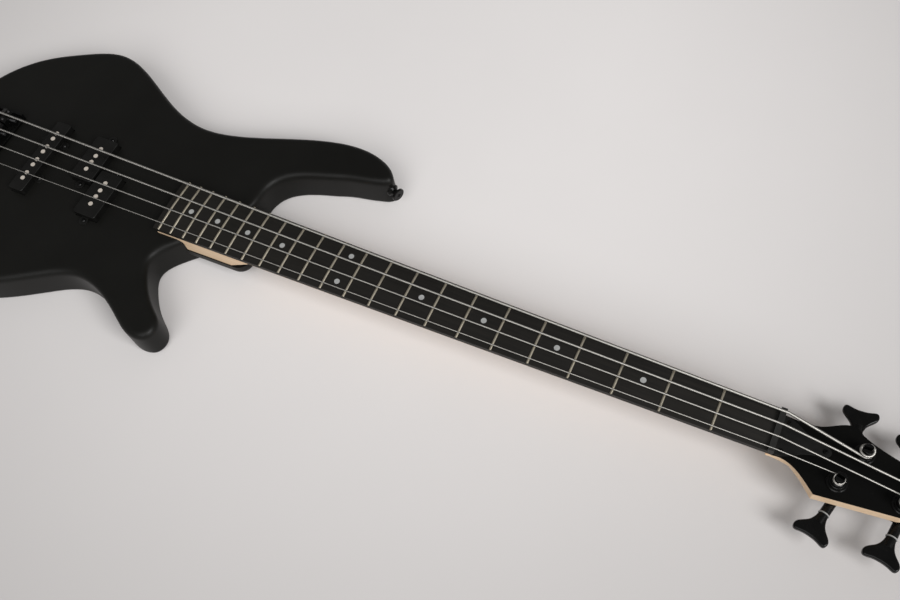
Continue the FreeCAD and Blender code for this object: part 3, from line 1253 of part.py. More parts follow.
jack = turned("jack", [
    ("jack_bore", "0 - jack_length + 3"), ("0", "0 - jack_length + 3"), ("0", "0 - jack_length"),
    ("jack_barrel", "0 - jack_length"), ("jack_barrel", "0"), ("jack_flange", "0"), ("jack_flange", "1.2"),
    ("jack_flange - 1", "2"), ("jack_bore + 1", "2"), ("jack_bore", "1.2")])
jack.Placement = at(size.jack_place, jack_mouth, size.jack_height, "-Y")
publish(jack, "output_jack")

lid_block = block("lid_block", "control_length + 2 * lid_margin", "control_width + 2 * lid_margin",
                  "lid_thick", (size.control_place - lid_x, size.control_side - lid_y, 0))
lid_blank = soften("lid_blank", lid_block, 1, upright)
lid_sinks = drilled("lid_sinks", size.small_head + size.loose_gap, size.small_dome + 0.4 + 1,
                    [at(x, y, -1) for x, y in lid_spots])
lid_bores = drilled("lid_bores", size.small_shank + size.seat_gap, size.lid_thick + 2,
                    [at(x, y, -1) for x, y in lid_spots])
publish(cut("lid_cut", lid_blank, [lid_sinks, lid_bores]), "control_cover")
small_places += [at(x, y, size.small_dome + 0.4, "-Z") for x, y in lid_spots]
publish(copies("small_screw_set", small_screw, small_places), "small_screws")

# Strap buttons at the long horn and the tail.
button = turned("button", [
    ("wood_shank + seat_gap", "0"), ("button_base", "0"), ("button_base", "1.6"),
    ("button_waist", "button_length * 0.36"), ("button_waist", "button_length * 0.62"),
    ("button_rim", "button_length * 0.8"), ("button_rim", "button_length * 0.94"),
    ("button_rim - 0.9", "button_length"), ("wood_head + seat_gap", "button_length"),
    ("wood_shank + seat_gap", "button_length - wood_cone")])
publish(copies("button_set", button, button_places), "strap_buttons")

doc.recompute()
for item in doc.Objects:
    if "Invalid" in item.State or "Error" in item.State:
        raise RuntimeError(f"{item.Name} failed: {item.State}")
for label, solid in nodes.items():
    if solid.Shape.isNull() or not solid.Shape.isValid():
        raise RuntimeError(f"{label} has no valid shape")
os.makedirs("parts", exist_ok=True)
for label, solid in nodes.items():
    solid.Shape.exportStep(f"parts/{label}.step")
print(len(nodes), "sub-parts written")
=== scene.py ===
# %% [markdown]
# # An electric bass guitar, dressed for its portrait
# The solids of this bass come from CAD and already have their true shapes: body, neck, frets,
# pickups, bridge and tuners. Blender could remodel them all, but then the sizes could drift.
# So this script loads the solids as a fixed frame, gives each one a finish of its own, and only
# models again what CAD can't show well: wound strings, knob grips and foam.

# %% Load the frame
import json
import math
from collections import namedtuple

import bmesh
import bpy
from mathutils import Matrix, Vector


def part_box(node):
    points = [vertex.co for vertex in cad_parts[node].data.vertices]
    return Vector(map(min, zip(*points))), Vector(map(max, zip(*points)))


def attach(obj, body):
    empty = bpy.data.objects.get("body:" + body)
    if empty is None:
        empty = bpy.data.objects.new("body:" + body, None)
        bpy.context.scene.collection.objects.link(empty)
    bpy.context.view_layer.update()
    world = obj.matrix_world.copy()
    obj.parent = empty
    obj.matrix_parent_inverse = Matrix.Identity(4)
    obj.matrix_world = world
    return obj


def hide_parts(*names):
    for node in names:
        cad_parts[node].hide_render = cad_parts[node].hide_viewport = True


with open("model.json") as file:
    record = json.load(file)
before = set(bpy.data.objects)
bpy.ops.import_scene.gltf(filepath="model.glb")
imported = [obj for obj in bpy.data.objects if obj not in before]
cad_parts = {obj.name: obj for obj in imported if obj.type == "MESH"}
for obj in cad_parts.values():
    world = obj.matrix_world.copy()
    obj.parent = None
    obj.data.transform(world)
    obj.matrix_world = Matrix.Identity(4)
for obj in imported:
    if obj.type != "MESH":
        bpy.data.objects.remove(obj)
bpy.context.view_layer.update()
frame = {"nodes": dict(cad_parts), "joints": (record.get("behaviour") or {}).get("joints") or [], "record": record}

scene = bpy.context.scene


def placed(name, data):
    """A new object that stands in the scene."""
    item = bpy.data.objects.new(name, data)
    scene.collection.objects.link(item)
    return item


# %% [markdown]
# ## Camera
# The photographer stood beside the nut and looked down and back along the neck, so the neck runs
# out of the picture to the lower right. The camera's place and the two directions below were worked
# out from the frets, whose spacing is known. A camera could be aimed with a constraint, but a
# matrix made of three directions is exact and leaves nothing to evaluate.

# %% Camera
EYE = (0.806062, -0.335210, 0.828065)
LOOK = Vector((-0.28257, 0.386218, -0.87806))
RISE = Vector((-0.332977, 0.818954, 0.467376))
FOCAL_PIXELS = 944.336
PICTURE_PIXELS = 900
SENSOR_MM = 36
LENS_MM = FOCAL_PIXELS * SENSOR_MM / PICTURE_PIXELS

lens = bpy.data.cameras.new("camera")
lens.sensor_width = SENSOR_MM
lens.lens = LENS_MM
camera = placed("camera", lens)
turn = Matrix((LOOK.cross(RISE), RISE, -LOOK)).transposed().to_4x4()
camera.matrix_world = Matrix.Translation(EYE) @ turn
scene.camera = camera
scene.view_settings.view_transform = "Standard"
print("camera with a lens of", round(LENS_MM, 2), "mm")

# %% [markdown]
# ## Light and floor
# The photo has a fairly low light from the right, beyond the head, a broader and weaker one from
# the near side, and little else: the keys' shadows fall to the left, and the black face stays dark
# because it mirrors a dim ceiling, while rounded edges catch the lamps. A bright world would wash
# the black out, so it stays dim and the two lamps do the work.

# %% Light and floor
MIDDLE = Vector((0.45, 0.0, 0.0))
WORLD_COLOUR = (1.0, 0.985, 0.97, 1.0)
WORLD_STRENGTH = 0.22
HALF_FLOOR = 6.0
FLOOR_LEVEL = -0.0006


def soft_box(name, place, size, watts):
    """A square area lamp at place that shines towards the middle of the bass."""
    lamp = bpy.data.lights.new(name, "AREA")
    lamp.size = size
    lamp.energy = watts
    box = placed(name, lamp)
    box.location = place
    box.rotation_euler = (MIDDLE - Vector(place)).to_track_quat("-Z", "Y").to_euler()


soft_box("near_box", (1.2, -4.2, 4.4), size=4.6, watts=190)
soft_box("right_box", (5.2, -1.3, 3.8), size=2.6, watts=320)
world = bpy.data.worlds.new("studio")
scene.world = world
world.use_nodes = True
backdrop = world.node_tree.nodes["Background"]
backdrop.inputs["Color"].default_value = WORLD_COLOUR
backdrop.inputs["Strength"].default_value = WORLD_STRENGTH

corners = [(x * HALF_FLOOR, y * HALF_FLOOR, FLOOR_LEVEL) for x, y in ((-1, -1), (1, -1), (1, 1), (-1, 1))]
floor_mesh = bpy.data.meshes.new("floor")
floor_mesh.from_pydata(corners, [], [(0, 1, 2, 3)])
floor = placed("floor", floor_mesh)
print("two lamps and a floor")

# %% [markdown]
# ## Helpers for node trees
# Every finish below is a small tree of nodes. Clicking them together by hand is how one learns
# them, but a script does with a few helpers: one that adds a node and fills its sockets by name,
# and short ones for the nodes that come up again and again. Sockets that share a name, as those
# of the Math and Mix nodes do, are reached by number.

# %% Node helpers
# The numbers of a Mix node's first, second and result sockets
MIX_SOCKETS = {"RGBA": (6, 7, 2), "VECTOR": (4, 5, 1)}


def feed(tree, socket, value):
    """Links a socket to another node's socket, or sets it to a plain value."""
    if isinstance(value, bpy.types.NodeSocket):
        tree.links.new(value, socket)
    else:
        socket.default_value = value


def add(tree, kind, settings=None, **sockets):
    """A node of that kind, with its sockets fed by name."""
    node = tree.nodes.new(kind)
    for name, value in (settings or {}).items():
        setattr(node, name, value)
    for name, value in sockets.items():
        feed(tree, node.inputs[name.replace("_", " ")], value)
    return node


def maths(tree, operation, *values):
    """The result of a Math node."""
    node = add(tree, "ShaderNodeMath", {"operation": operation})
    for socket, value in zip(node.inputs, values):
        feed(tree, socket, value)
    return node.outputs[0]


def vector_maths(tree, operation, first, second):
    """The outputs of a Vector Math node: Vector, or Value where the result is a number."""
    node = add(tree, "ShaderNodeVectorMath", {"operation": operation})
    feed(tree, node.inputs[0], first)
    feed(tree, node.inputs[1], second)
    return node.outputs


def remap(tree, value, low, high, to_low=0.0, to_high=1.0, ease="LINEAR"):
    """Value stretched from one range to another and held inside it."""
    node = add(tree, "ShaderNodeMapRange", {"clamp": True, "interpolation_type": ease}, Value=value,
               From_Min=low, From_Max=high, To_Min=to_low, To_Max=to_high)
    return node.outputs["Result"]


def mix(tree, kind, share, first, second):
    """A colour or a vector between first and second."""
    node = add(tree, "ShaderNodeMix", {"data_type": kind})
    one, two, result = MIX_SOCKETS[kind]
    for index, value in ((0, share), (one, first), (two, second)):
        feed(tree, node.inputs[index], value)
    return node.outputs[result]


def blend(tree, share, first, second):
    """A colour between first and second."""
    return mix(tree, "RGBA", share, first, second)


def noise(tree, vector, scale, detail=3.0, **more):
    """The height of a cloudy noise."""
    return add(tree, "ShaderNodeTexNoise", Vector=vector, Scale=scale, Detail=detail, **more).outputs[0]


def shader_group(name, values, outputs):
    """An empty shader group that takes a Vector and named values, and its two end nodes."""
    tree = bpy.data.node_groups.new(name, "ShaderNodeTree")
    tree.interface.new_socket("Vector", in_out="INPUT", socket_type="NodeSocketVector")
    for label, value in values.items():
        socket = tree.interface.new_socket(label, in_out="INPUT", socket_type="NodeSocketFloat")
        socket.default_value = value
    for label in outputs:
        tree.interface.new_socket(label, in_out="OUTPUT", socket_type="NodeSocketFloat")
    return tree, tree.nodes.new("NodeGroupInput"), tree.nodes.new("NodeGroupOutput")


print("node helpers ready")

# %% [markdown]
# ## Shared surface effects
# Wood, lacquer, plastic and metal differ in colour but share some habits: grain runs in streaks, handling leaves
# cloudy patches of gloss, dust settles on what faces up, and edges turn lighter, partly as wear and partly as a
# painted highlight.
# Each habit is one shader group with named inputs, so a material only states how strong it is.
# A noise hovers around one half, so each group cuts out the band of it that it needs.

# %% Streaks of grain
LINE_BAND = (0.3, 0.7)
PORE_BAND = (0.57, 0.66)

streaks, entry, leave = shader_group("streaks", {"Along": 6.0, "Across": 260.0}, ["Lines", "Pores"])
across = entry.outputs["Across"]
stretch = add(streaks, "ShaderNodeCombineXYZ", X=entry.outputs["Along"], Y=across, Z=across)
laid = vector_maths(streaks, "MULTIPLY", entry.outputs["Vector"], stretch.outputs[0])["Vector"]
coarse = noise(streaks, laid, 1.0, detail=5.0, Roughness=0.62, Distortion=0.4)
thin = noise(streaks, laid, 5.5, detail=2.0, Roughness=0.5)
feed(streaks, leave.inputs["Lines"], remap(streaks, coarse, *LINE_BAND))
feed(streaks, leave.inputs["Pores"], remap(streaks, thin, *PORE_BAND))

# %% Cloudy gloss
CLOUD_BAND = (0.3, 0.7)

clouds, entry, leave = shader_group("cloudy_gloss", {"Scale": 14.0, "Low": 0.3, "High": 0.5},
                                    ["Value", "Cloud"])
puffs = noise(clouds, entry.outputs["Vector"], entry.outputs["Scale"], detail=6.0, Roughness=0.65)
cloud = remap(clouds, puffs, *CLOUD_BAND)
feed(clouds, leave.inputs["Cloud"], cloud)
gloss = remap(clouds, cloud, 0.0, 1.0, entry.outputs["Low"], entry.outputs["High"])
feed(clouds, leave.inputs["Value"], gloss)

# %% Settled dust
SPECK_BAND = (0.63, 0.78)
DRIFT_BAND = (0.4, 0.7)
STEEPNESS = 4.0

dust, entry, leave = shader_group("settled_dust", {"Scale": 420.0, "Amount": 0.3}, ["Mask"])
specks = noise(dust, entry.outputs["Vector"], entry.outputs["Scale"], Roughness=0.7)
drift = noise(dust, entry.outputs["Vector"], 9.0)
slope = add(dust, "ShaderNodeSeparateXYZ", Vector=add(dust, "ShaderNodeNewGeometry").outputs["Normal"])
flat = maths(dust, "POWER", maths(dust, "MAXIMUM", slope.outputs["Z"], 0.0), STEEPNESS)
lying = maths(dust, "MULTIPLY", remap(dust, specks, *SPECK_BAND), remap(dust, drift, *DRIFT_BAND))
lying = maths(dust, "MULTIPLY", lying, flat)
feed(dust, leave.inputs["Mask"], maths(dust, "MULTIPLY", lying, entry.outputs["Amount"]))

# %% Worn and highlighted edges
# How far the rounded normal agrees with the true one, from a flat face to an edge
EDGE_BAND = (0.985, 0.86)
PATCH_BAND = (0.35, 0.65)

# Lighter edges: partly real wear, partly a painted highlight where an edge would catch the light.
edge_wear_and_highlight, entry, leave = shader_group("worn_and_highlighted_edges", {"Radius": 0.0006, "Amount": 0.5}, ["Mask"])
rounded = add(edge_wear_and_highlight, "ShaderNodeBevel", {"samples": 4}, Radius=entry.outputs["Radius"]).outputs["Normal"]
true_normal = add(edge_wear_and_highlight, "ShaderNodeNewGeometry").outputs["Normal"]
facing = vector_maths(edge_wear_and_highlight, "DOT_PRODUCT", rounded, true_normal)["Value"]
edge = remap(edge_wear_and_highlight, facing, *EDGE_BAND)
patches = noise(edge_wear_and_highlight, entry.outputs["Vector"], 160.0, detail=4.0)
edge = maths(edge_wear_and_highlight, "MULTIPLY", edge, remap(edge_wear_and_highlight, patches, *PATCH_BAND))
feed(edge_wear_and_highlight, leave.inputs["Mask"], maths(edge_wear_and_highlight, "MULTIPLY", edge, entry.outputs["Amount"]))
print("shader groups:", streaks.name, clouds.name, dust.name, edge_wear_and_highlight.name)

# %% [markdown]
# ## A blank finish
# Each material starts from the Principled shader. What is the same all over, such as a metal's
# metallic value, is set on the shader's own socket; only what varies is linked from nodes.

# %% Blank finish
finishes = {}


def blank(slot, **sockets):
    """A new material with its tree, its Principled shader and the place of each point."""
    material = bpy.data.materials.new(slot)
    material.use_nodes = True
    tree = material.node_tree
    shader = tree.nodes["Principled BSDF"]
    for name, value in sockets.items():
        shader.inputs[name.replace("_", " ")].default_value = value
    finishes[slot] = material
    return tree, shader, add(tree, "ShaderNodeTexCoord").outputs["Object"]


def colour(red, green, blue):
    """An opaque colour."""
    return (red, green, blue, 1.0)


DUST = colour(0.16, 0.155, 0.145)


def group(tree, effect, **sockets):
    """The outputs of a shared effect, placed in a material with its own values."""
    return add(tree, "ShaderNodeGroup", {"node_tree": effect}, **sockets).outputs


def edges_worn_and_lit(tree, place, tone, edge_tone, radius, amount):
    """The tone, turned towards an edge colour on edges: partly wear, partly a painted highlight."""
    mask = group(tree, edge_wear_and_highlight, Vector=place, Radius=radius, Amount=amount)["Mask"]
    return blend(tree, mask, tone, edge_tone)


def dusted(tree, place, tone, scale, amount):
    """The tone, with dust on what faces up."""
    mask = group(tree, dust, Vector=place, Scale=scale, Amount=amount)["Mask"]
    return blend(tree, mask, tone, DUST)


def paint(tree, shader, tone):
    """Gives the shader a tone that varies."""
    feed(tree, shader.inputs["Base Color"], tone)


def rough(tree, shader, place, scale, low, high):
    """Cloudy roughness between low and high; gives back the cloud for other uses."""
    gloss = group(tree, clouds, Vector=place, Scale=scale, Low=low, High=high)
    feed(tree, shader.inputs["Roughness"], gloss["Value"])
    return gloss["Cloud"]


def bump(tree, shader, height, strength, distance):
    """A bump from a height that varies over the surface."""
    node = add(tree, "ShaderNodeBump", Height=height, Strength=strength, Distance=distance)
    feed(tree, shader.inputs["Normal"], node.outputs[0])
    return node


print("blank finish ready")

# %% [markdown]
# ## Floor
# A roll of pale studio paper with a breath of warmth. Its colour is painted greyer away from a middle point
# towards its corners, as painted shade where the light falls off. A plain colour would come close, but a little
# cloudiness keeps the large surface from looking computed.

# %% Floor paper
# Painted shade: the paper greys with distance from this middle, standing in for light that falls off towards the
# corners.
PAINTED_FALLOFF_MIDDLE = (0.36, 0.30, 0.0)
PAINTED_FALLOFF_RANGE = (0.2, 0.95)
PAINTED_FALLOFF_GREY = colour(0.43, 0.414, 0.408)

tree, shader, place = blank("floor_paper")
cloud = rough(tree, shader, place, scale=2.0, low=0.75, high=0.9)
paper = blend(tree, cloud, colour(0.735, 0.710, 0.703), colour(0.755, 0.730, 0.722))
# Painted shade: greyer with distance from the middle.
offset = vector_maths(tree, "DISTANCE", place, PAINTED_FALLOFF_MIDDLE)["Value"]
painted_falloff = remap(tree, offset, *PAINTED_FALLOFF_RANGE, ease="SMOOTHSTEP")
paint(tree, shader, blend(tree, painted_falloff, paper, PAINTED_FALLOFF_GREY))
floor_mesh.materials.append(finishes["floor_paper"])
print("floor paper")

# %% [markdown]
# ## Black lacquer and wood
# The body wears a satin black lacquer: almost no colour, a soft broad sheen, and under raking
# light a faint orange-peel. Its upper edges look softer in the photo than the solid's rounding, so
# a Bevel node eases the shading there, and a mask keeps it off the pockets, whose edges are sharp.
# The neck is pale wood with fine lines along its length, and the face of its head is lacquered
# like the body, so the neck's material asks where a point lies and swaps wood for lacquer on the
# top of the head. The fingerboard is a dark wood with open pores.

# %% Body lacquer
LACQUER_DEEP = colour(0.0048, 0.0047, 0.0041)
LACQUER_PALE = colour(0.0066, 0.0065, 0.0057)
LACQUER_EDGE_WEAR_AND_HIGHLIGHT = colour(0.05, 0.048, 0.045)

tree, shader, place = blank("body_lacquer", Specular_IOR_Level=0.15)
cloud = rough(tree, shader, place, scale=11.0, low=0.37, high=0.45)
tone = blend(tree, cloud, LACQUER_DEEP, LACQUER_PALE)
# Lighter edges on the lacquer: partly wear, partly a painted highlight.
tone = edges_worn_and_lit(tree, place, tone, LACQUER_EDGE_WEAR_AND_HIGHLIGHT, radius=0.0012, amount=0.12)
paint(tree, shader, dusted(tree, place, tone, scale=700.0, amount=0.16))
peel = bump(tree, shader, noise(tree, place, 900.0), strength=0.05, distance=0.0004)

# %% Soft shoulder of the body
SHOULDER = 0.008
SHOULDER_ABOVE = 0.012
NECK_CLEAR = 0.036
NECK_FADE = 0.006
PICKUP_CLEAR = 0.056
PICKUP_FADE = 0.01
PICKUPS_END = 0.182

spot = add(tree, "ShaderNodeSeparateXYZ", Vector=place)
off_middle = maths(tree, "ABSOLUTE", spot.outputs["Y"])
beside_neck = maths(tree, "MULTIPLY", maths(tree, "GREATER_THAN", spot.outputs["X"], PICKUPS_END),
                    remap(tree, off_middle, NECK_CLEAR, NECK_CLEAR + NECK_FADE))
beside_pickups = remap(tree, off_middle, PICKUP_CLEAR, PICKUP_CLEAR + PICKUP_FADE)
shown = maths(tree, "MULTIPLY", maths(tree, "MAXIMUM", beside_neck, beside_pickups),
              maths(tree, "GREATER_THAN", spot.outputs["Z"], SHOULDER_ABOVE))
soft = add(tree, "ShaderNodeBevel", {"samples": 8}, Radius=SHOULDER).outputs["Normal"]
true_normal = add(tree, "ShaderNodeNewGeometry").outputs["Normal"]
feed(tree, peel.inputs["Normal"], mix(tree, "VECTOR", shown, true_normal, soft))

# %% Pale wood with a black head face
HEAD_START = 0.8686
HEAD_LEVEL = 0.0380
HEAD_BLACK = colour(0.0018, 0.0018, 0.0016)
PALE_PORES = 0.25

tree, shader, place = blank("maple", Specular_IOR_Level=0.1)
lines = group(tree, streaks, Vector=place, Along=7.0, Across=330.0)
wood = blend(tree, lines["Lines"], colour(0.72, 0.545, 0.375), colour(0.63, 0.455, 0.295))
wood = blend(tree, maths(tree, "MULTIPLY", lines["Pores"], PALE_PORES), wood, colour(0.36, 0.21, 0.11))
spot = add(tree, "ShaderNodeSeparateXYZ", Vector=place)
past_nut = maths(tree, "GREATER_THAN", spot.outputs["X"], HEAD_START)
on_top = maths(tree, "GREATER_THAN", spot.outputs["Z"], HEAD_LEVEL)
lacquered = maths(tree, "MULTIPLY", past_nut, on_top)
black = dusted(tree, place, HEAD_BLACK, scale=700.0, amount=0.14)
paint(tree, shader, blend(tree, lacquered, wood, black))
rough(tree, shader, place, scale=16.0, low=0.36, high=0.48)
bump(tree, shader, lines["Lines"], strength=0.03, distance=0.0003)

# %% Fingerboard
DARK_PORES = 0.7

tree, shader, place = blank("dark_board", Specular_IOR_Level=0.3)
lines = group(tree, streaks, Vector=place, Along=9.0, Across=420.0)
tone = blend(tree, lines["Lines"], colour(0.0058, 0.0052, 0.0043), colour(0.0115, 0.0100, 0.0080))
tone = blend(tree, maths(tree, "MULTIPLY", lines["Pores"], DARK_PORES), tone, colour(0.004, 0.0035, 0.003))
paint(tree, shader, dusted(tree, place, tone, scale=800.0, amount=0.12))
rough(tree, shader, place, scale=24.0, low=0.46, high=0.62)
relief = maths(tree, "SUBTRACT", lines["Lines"], lines["Pores"])
bump(tree, shader, relief, strength=0.18, distance=0.0002)
print("lacquer and woods")

# %% [markdown]
# ## Metals
# Frets, poles and strings are bare metal; tuners, bridge, knobs and most screws are plated black.
# Bare metal is nearly all reflection, so its life is in the roughness and in fine polishing lines.
# Black plating is a dark glossy coat that turns a little grey at its edges, partly where they rub and partly as a
# painted highlight. A string's material reads the height of its winding, and darkens the valleys and the sides as
# painted shade.

# %% Bare metals


def bare_metal(slot, light, dark, low, high, lines, metallic=1.0):
    """Polished metal with fine lines and cloudy gloss; dull metal is less than fully metallic."""
    tree, shader, place = blank(slot, Metallic=metallic)
    cloud = rough(tree, shader, place, scale=130.0, low=low, high=high)
    paint(tree, shader, blend(tree, cloud, light, dark))
    lined = vector_maths(tree, "MULTIPLY", place, lines)["Vector"]
    bump(tree, shader, noise(tree, lined, 1.0), strength=0.06, distance=0.0001)


# How closely the polishing lines lie along X, Y and Z
FRET_LINES = (900.0, 60.0, 900.0)
POLE_LINES = (2600.0, 2600.0, 400.0)
TURNED_LINES = (5000.0, 120.0, 900.0)

bare_metal("fret_wire", colour(0.72, 0.66, 0.53), colour(0.60, 0.54, 0.43), 0.3, 0.42, FRET_LINES)
bare_metal("pole_metal", colour(0.80, 0.73, 0.65), colour(0.62, 0.56, 0.49), 0.5, 0.62, POLE_LINES, 0.45)
bare_metal("steel", colour(0.34, 0.34, 0.345), colour(0.24, 0.24, 0.245), 0.3, 0.45, TURNED_LINES)
bare_metal("pot_metal", colour(0.62, 0.61, 0.58), colour(0.46, 0.45, 0.42), 0.3, 0.48, TURNED_LINES)

# %% Black plating
tree, shader, place = blank("black_metal", Specular_IOR_Level=0.18)
cloud = rough(tree, shader, place, scale=90.0, low=0.2, high=0.31)
tone = blend(tree, cloud, colour(0.0018, 0.0018, 0.0017), colour(0.0030, 0.0030, 0.0029))
# Greyer edges: partly wear, partly a painted highlight.
tone = edges_worn_and_lit(tree, place, tone, colour(0.12, 0.118, 0.115), radius=0.0004, amount=0.16)
paint(tree, shader, dusted(tree, place, tone, scale=1100.0, amount=0.2))
bump(tree, shader, noise(tree, place, 1500.0), strength=0.03, distance=0.0002)

# %% Wound string
SIDE_SHADE_BAND = (0.1, 0.6)

tree, shader, place = blank("string_steel", Metallic=0.9)
ridge = add(tree, "ShaderNodeAttribute", {"attribute_name": "ridge"}).outputs["Fac"]
rough(tree, shader, place, scale=60.0, low=0.4, high=0.5)
# Painted shade: darker valleys between the ridges of the winding.
tone = blend(tree, ridge, colour(0.27, 0.26, 0.24), colour(0.62, 0.60, 0.56))
# Painted shade: darker towards the sides of the string as seen from the camera.
edgewise = add(tree, "ShaderNodeLayerWeight", Blend=0.5).outputs["Facing"]
tone = blend(tree, remap(tree, edgewise, *SIDE_SHADE_BAND), tone, colour(0.05, 0.048, 0.045))
paint(tree, shader, tone)
print("metals")

# %% [markdown]
# ## Plastics, inlays and foam
# Moulded plastic has a fine even texture from its mould, and its corners turn lighter, partly from scuffs and
# partly as a painted highlight. The dots are a pale grey plastic, slightly clouded. Foam is all pores.

# %% Plastics
SCUFF_AND_HIGHLIGHT = colour(0.13, 0.128, 0.122)
DUST_SHARE = 0.5


def moulded(slot, deep, pale, low, high, grain, edge_and_dust_share):
    """Moulded plastic with a fine texture, corners lightened by scuffs and a painted highlight, and a little dust.
    """
    tree, shader, place = blank(slot, Specular_IOR_Level=0.26)
    cloud = rough(tree, shader, place, scale=60.0, low=low, high=high)
    tone = blend(tree, cloud, deep, pale)
    # Lighter corners: partly scuffs, partly a painted highlight.
    tone = edges_worn_and_lit(tree, place, tone, SCUFF_AND_HIGHLIGHT, radius=0.0005, amount=edge_and_dust_share)
    paint(tree, shader, dusted(tree, place, tone, scale=900.0, amount=edge_and_dust_share * DUST_SHARE))
    bump(tree, shader, noise(tree, place, grain), strength=0.12, distance=0.0003)


moulded("cover_plastic", colour(0.0030, 0.0029, 0.0026), colour(0.0052, 0.0051, 0.0046), 0.36, 0.5,
        grain=2200.0, edge_and_dust_share=0.25)
moulded("black_plastic", colour(0.0048, 0.0048, 0.0046), colour(0.0080, 0.0079, 0.0075), 0.3, 0.44,
        grain=2000.0, edge_and_dust_share=0.35)
moulded("nut_plastic", colour(0.012, 0.0118, 0.011), colour(0.02, 0.0196, 0.0185), 0.4, 0.55,
        grain=1800.0, edge_and_dust_share=0.4)
moulded("coil_block", colour(0.012, 0.009, 0.007), colour(0.02, 0.015, 0.011), 0.5, 0.7,
        grain=900.0, edge_and_dust_share=0.2)
moulded("washer_plastic", colour(0.24, 0.24, 0.235), colour(0.32, 0.32, 0.31), 0.3, 0.42,
        grain=1800.0, edge_and_dust_share=0.1)

# %% Inlays and foam
tree, shader, place = blank("inlay", Specular_IOR_Level=0.5)
cloud = rough(tree, shader, place, scale=420.0, low=0.3, high=0.42)
paint(tree, shader, blend(tree, cloud, colour(0.30, 0.305, 0.30), colour(0.40, 0.405, 0.40)))
bump(tree, shader, cloud, strength=0.05, distance=0.0002)

tree, shader, place = blank("foam", Specular_IOR_Level=0.2)
cells = add(tree, "ShaderNodeTexVoronoi", Vector=place, Scale=1400.0).outputs["Distance"]
# Painted shade: each pore is darker at its middle, where its hollow lies.
paint(tree, shader, blend(tree, cells, colour(0.012, 0.012, 0.012), colour(0.05, 0.05, 0.05)))
rough(tree, shader, place, scale=300.0, low=0.85, high=0.98)
bump(tree, shader, cells, strength=0.7, distance=0.0006)
print("plastics, inlays and foam")

# %% [markdown]
# ## Dress the solids
# The record says which finish each CAD node takes. The mesh of a node is never touched; its
# material slots are filled with the finishes above.

# %% Dress the solids
for entry in frame["record"]["subparts"]:
    mesh = frame["nodes"][entry["node"]].data
    mesh.materials.clear()
    mesh.materials.append(finishes[entry["material_slot"]])

# %% [markdown]
# ## Helpers for shapes
# New shapes come from two sources. Geometry Nodes suit what follows a path or repeats, and each
# tree ends in real mesh that is then kept as a plain object. BMesh suits single small bodies that
# are built corner by corner, or cut from a box.

# %% Geometry Nodes helpers


def geometry_tree(name, inputs):
    """An empty Geometry Nodes tree with named inputs, and its two end nodes."""
    tree = bpy.data.node_groups.new(name, "GeometryNodeTree")
    tree.interface.new_socket("Geometry", in_out="INPUT", socket_type="NodeSocketGeometry")
    for label, kind in inputs.items():
        tree.interface.new_socket(label, in_out="INPUT", socket_type="NodeSocket" + kind)
    tree.interface.new_socket("Geometry", in_out="OUTPUT", socket_type="NodeSocketGeometry")
    return tree, tree.nodes.new("NodeGroupInput"), tree.nodes.new("NodeGroupOutput")


def close_tree(tree, leave, geometry, material):
    """Ends a tree in real mesh with a material."""
    real = add(tree, "GeometryNodeRealizeInstances", Geometry=geometry)
    dressed = add(tree, "GeometryNodeSetMaterial", Geometry=real.outputs[0], Material=material)
    feed(tree, leave.inputs["Geometry"], dressed.outputs[0])


def grown(name, base, tree, values):
    """The mesh that a tree grows from a base object, as a plain object of that name."""
    grower = base.modifiers.new("grow", "NODES")
    grower.node_group = tree
    for socket in tree.interface.items_tree:
        if socket.in_out == "INPUT" and socket.name in values:
            grower[socket.identifier] = values[socket.name]
    evaluated = base.evaluated_get(bpy.context.evaluated_depsgraph_get())
    mesh = bpy.data.meshes.new_from_object(evaluated)
    mesh.name = name
    bpy.data.objects.remove(base)
    return placed(name, mesh)


# %% Mesh helpers


def soft_edged_box(size, middle, edge, segments):
    """A box about its middle with bevelled edges."""
    shape = bmesh.new()
    bmesh.ops.create_cube(shape, size=1.0)
    bmesh.ops.scale(shape, vec=size, verts=shape.verts[:])
    bmesh.ops.translate(shape, vec=middle, verts=shape.verts[:])
    bmesh.ops.bevel(shape, geom=shape.edges[:], offset=edge, segments=segments, profile=0.5, affect="EDGES")
    return shape


def in_order(shape):
    """Sorts corners and faces by place, because cuts leave them in an order that varies from run to run."""
    for items, middle in ((shape.verts, lambda vert: vert.co),
                          (shape.faces, lambda face: face.calc_center_median())):
        for rank, item in enumerate(sorted(items, key=lambda item: tuple(middle(item)))):
            item.index = rank
        items.sort()


def smoothed(shape):
    """Turns all faces outwards and shades them smooth."""
    bmesh.ops.recalc_face_normals(shape, faces=shape.faces[:])
    for face in shape.faces:
        face.smooth = True


def mesh_of(shape, name, material):
    """The finished mesh of a shape, with a material; the shape is freed."""
    data = bpy.data.meshes.new(name)
    shape.to_mesh(data)
    shape.free()
    data.materials.append(material)
    return data


# %% [markdown]
# ## Strings
# A bass string is a steel core wound with wire, with a small spool at its ball end, and a turn or two round its
# post at the other. A curve with a round bevel gives a plain tube, and a bump would only paint the winding on. A
# Geometry Nodes tree can cut the path into short even steps, swell and pinch the tube from step to step, and write
# the height of each ridge on it, so one tree winds all four strings, and their material paints shade into the
# valleys.

# %% String tree
RIDGE_POINTS = 4
VALLEY = 0.925
RIDGE = 0.105

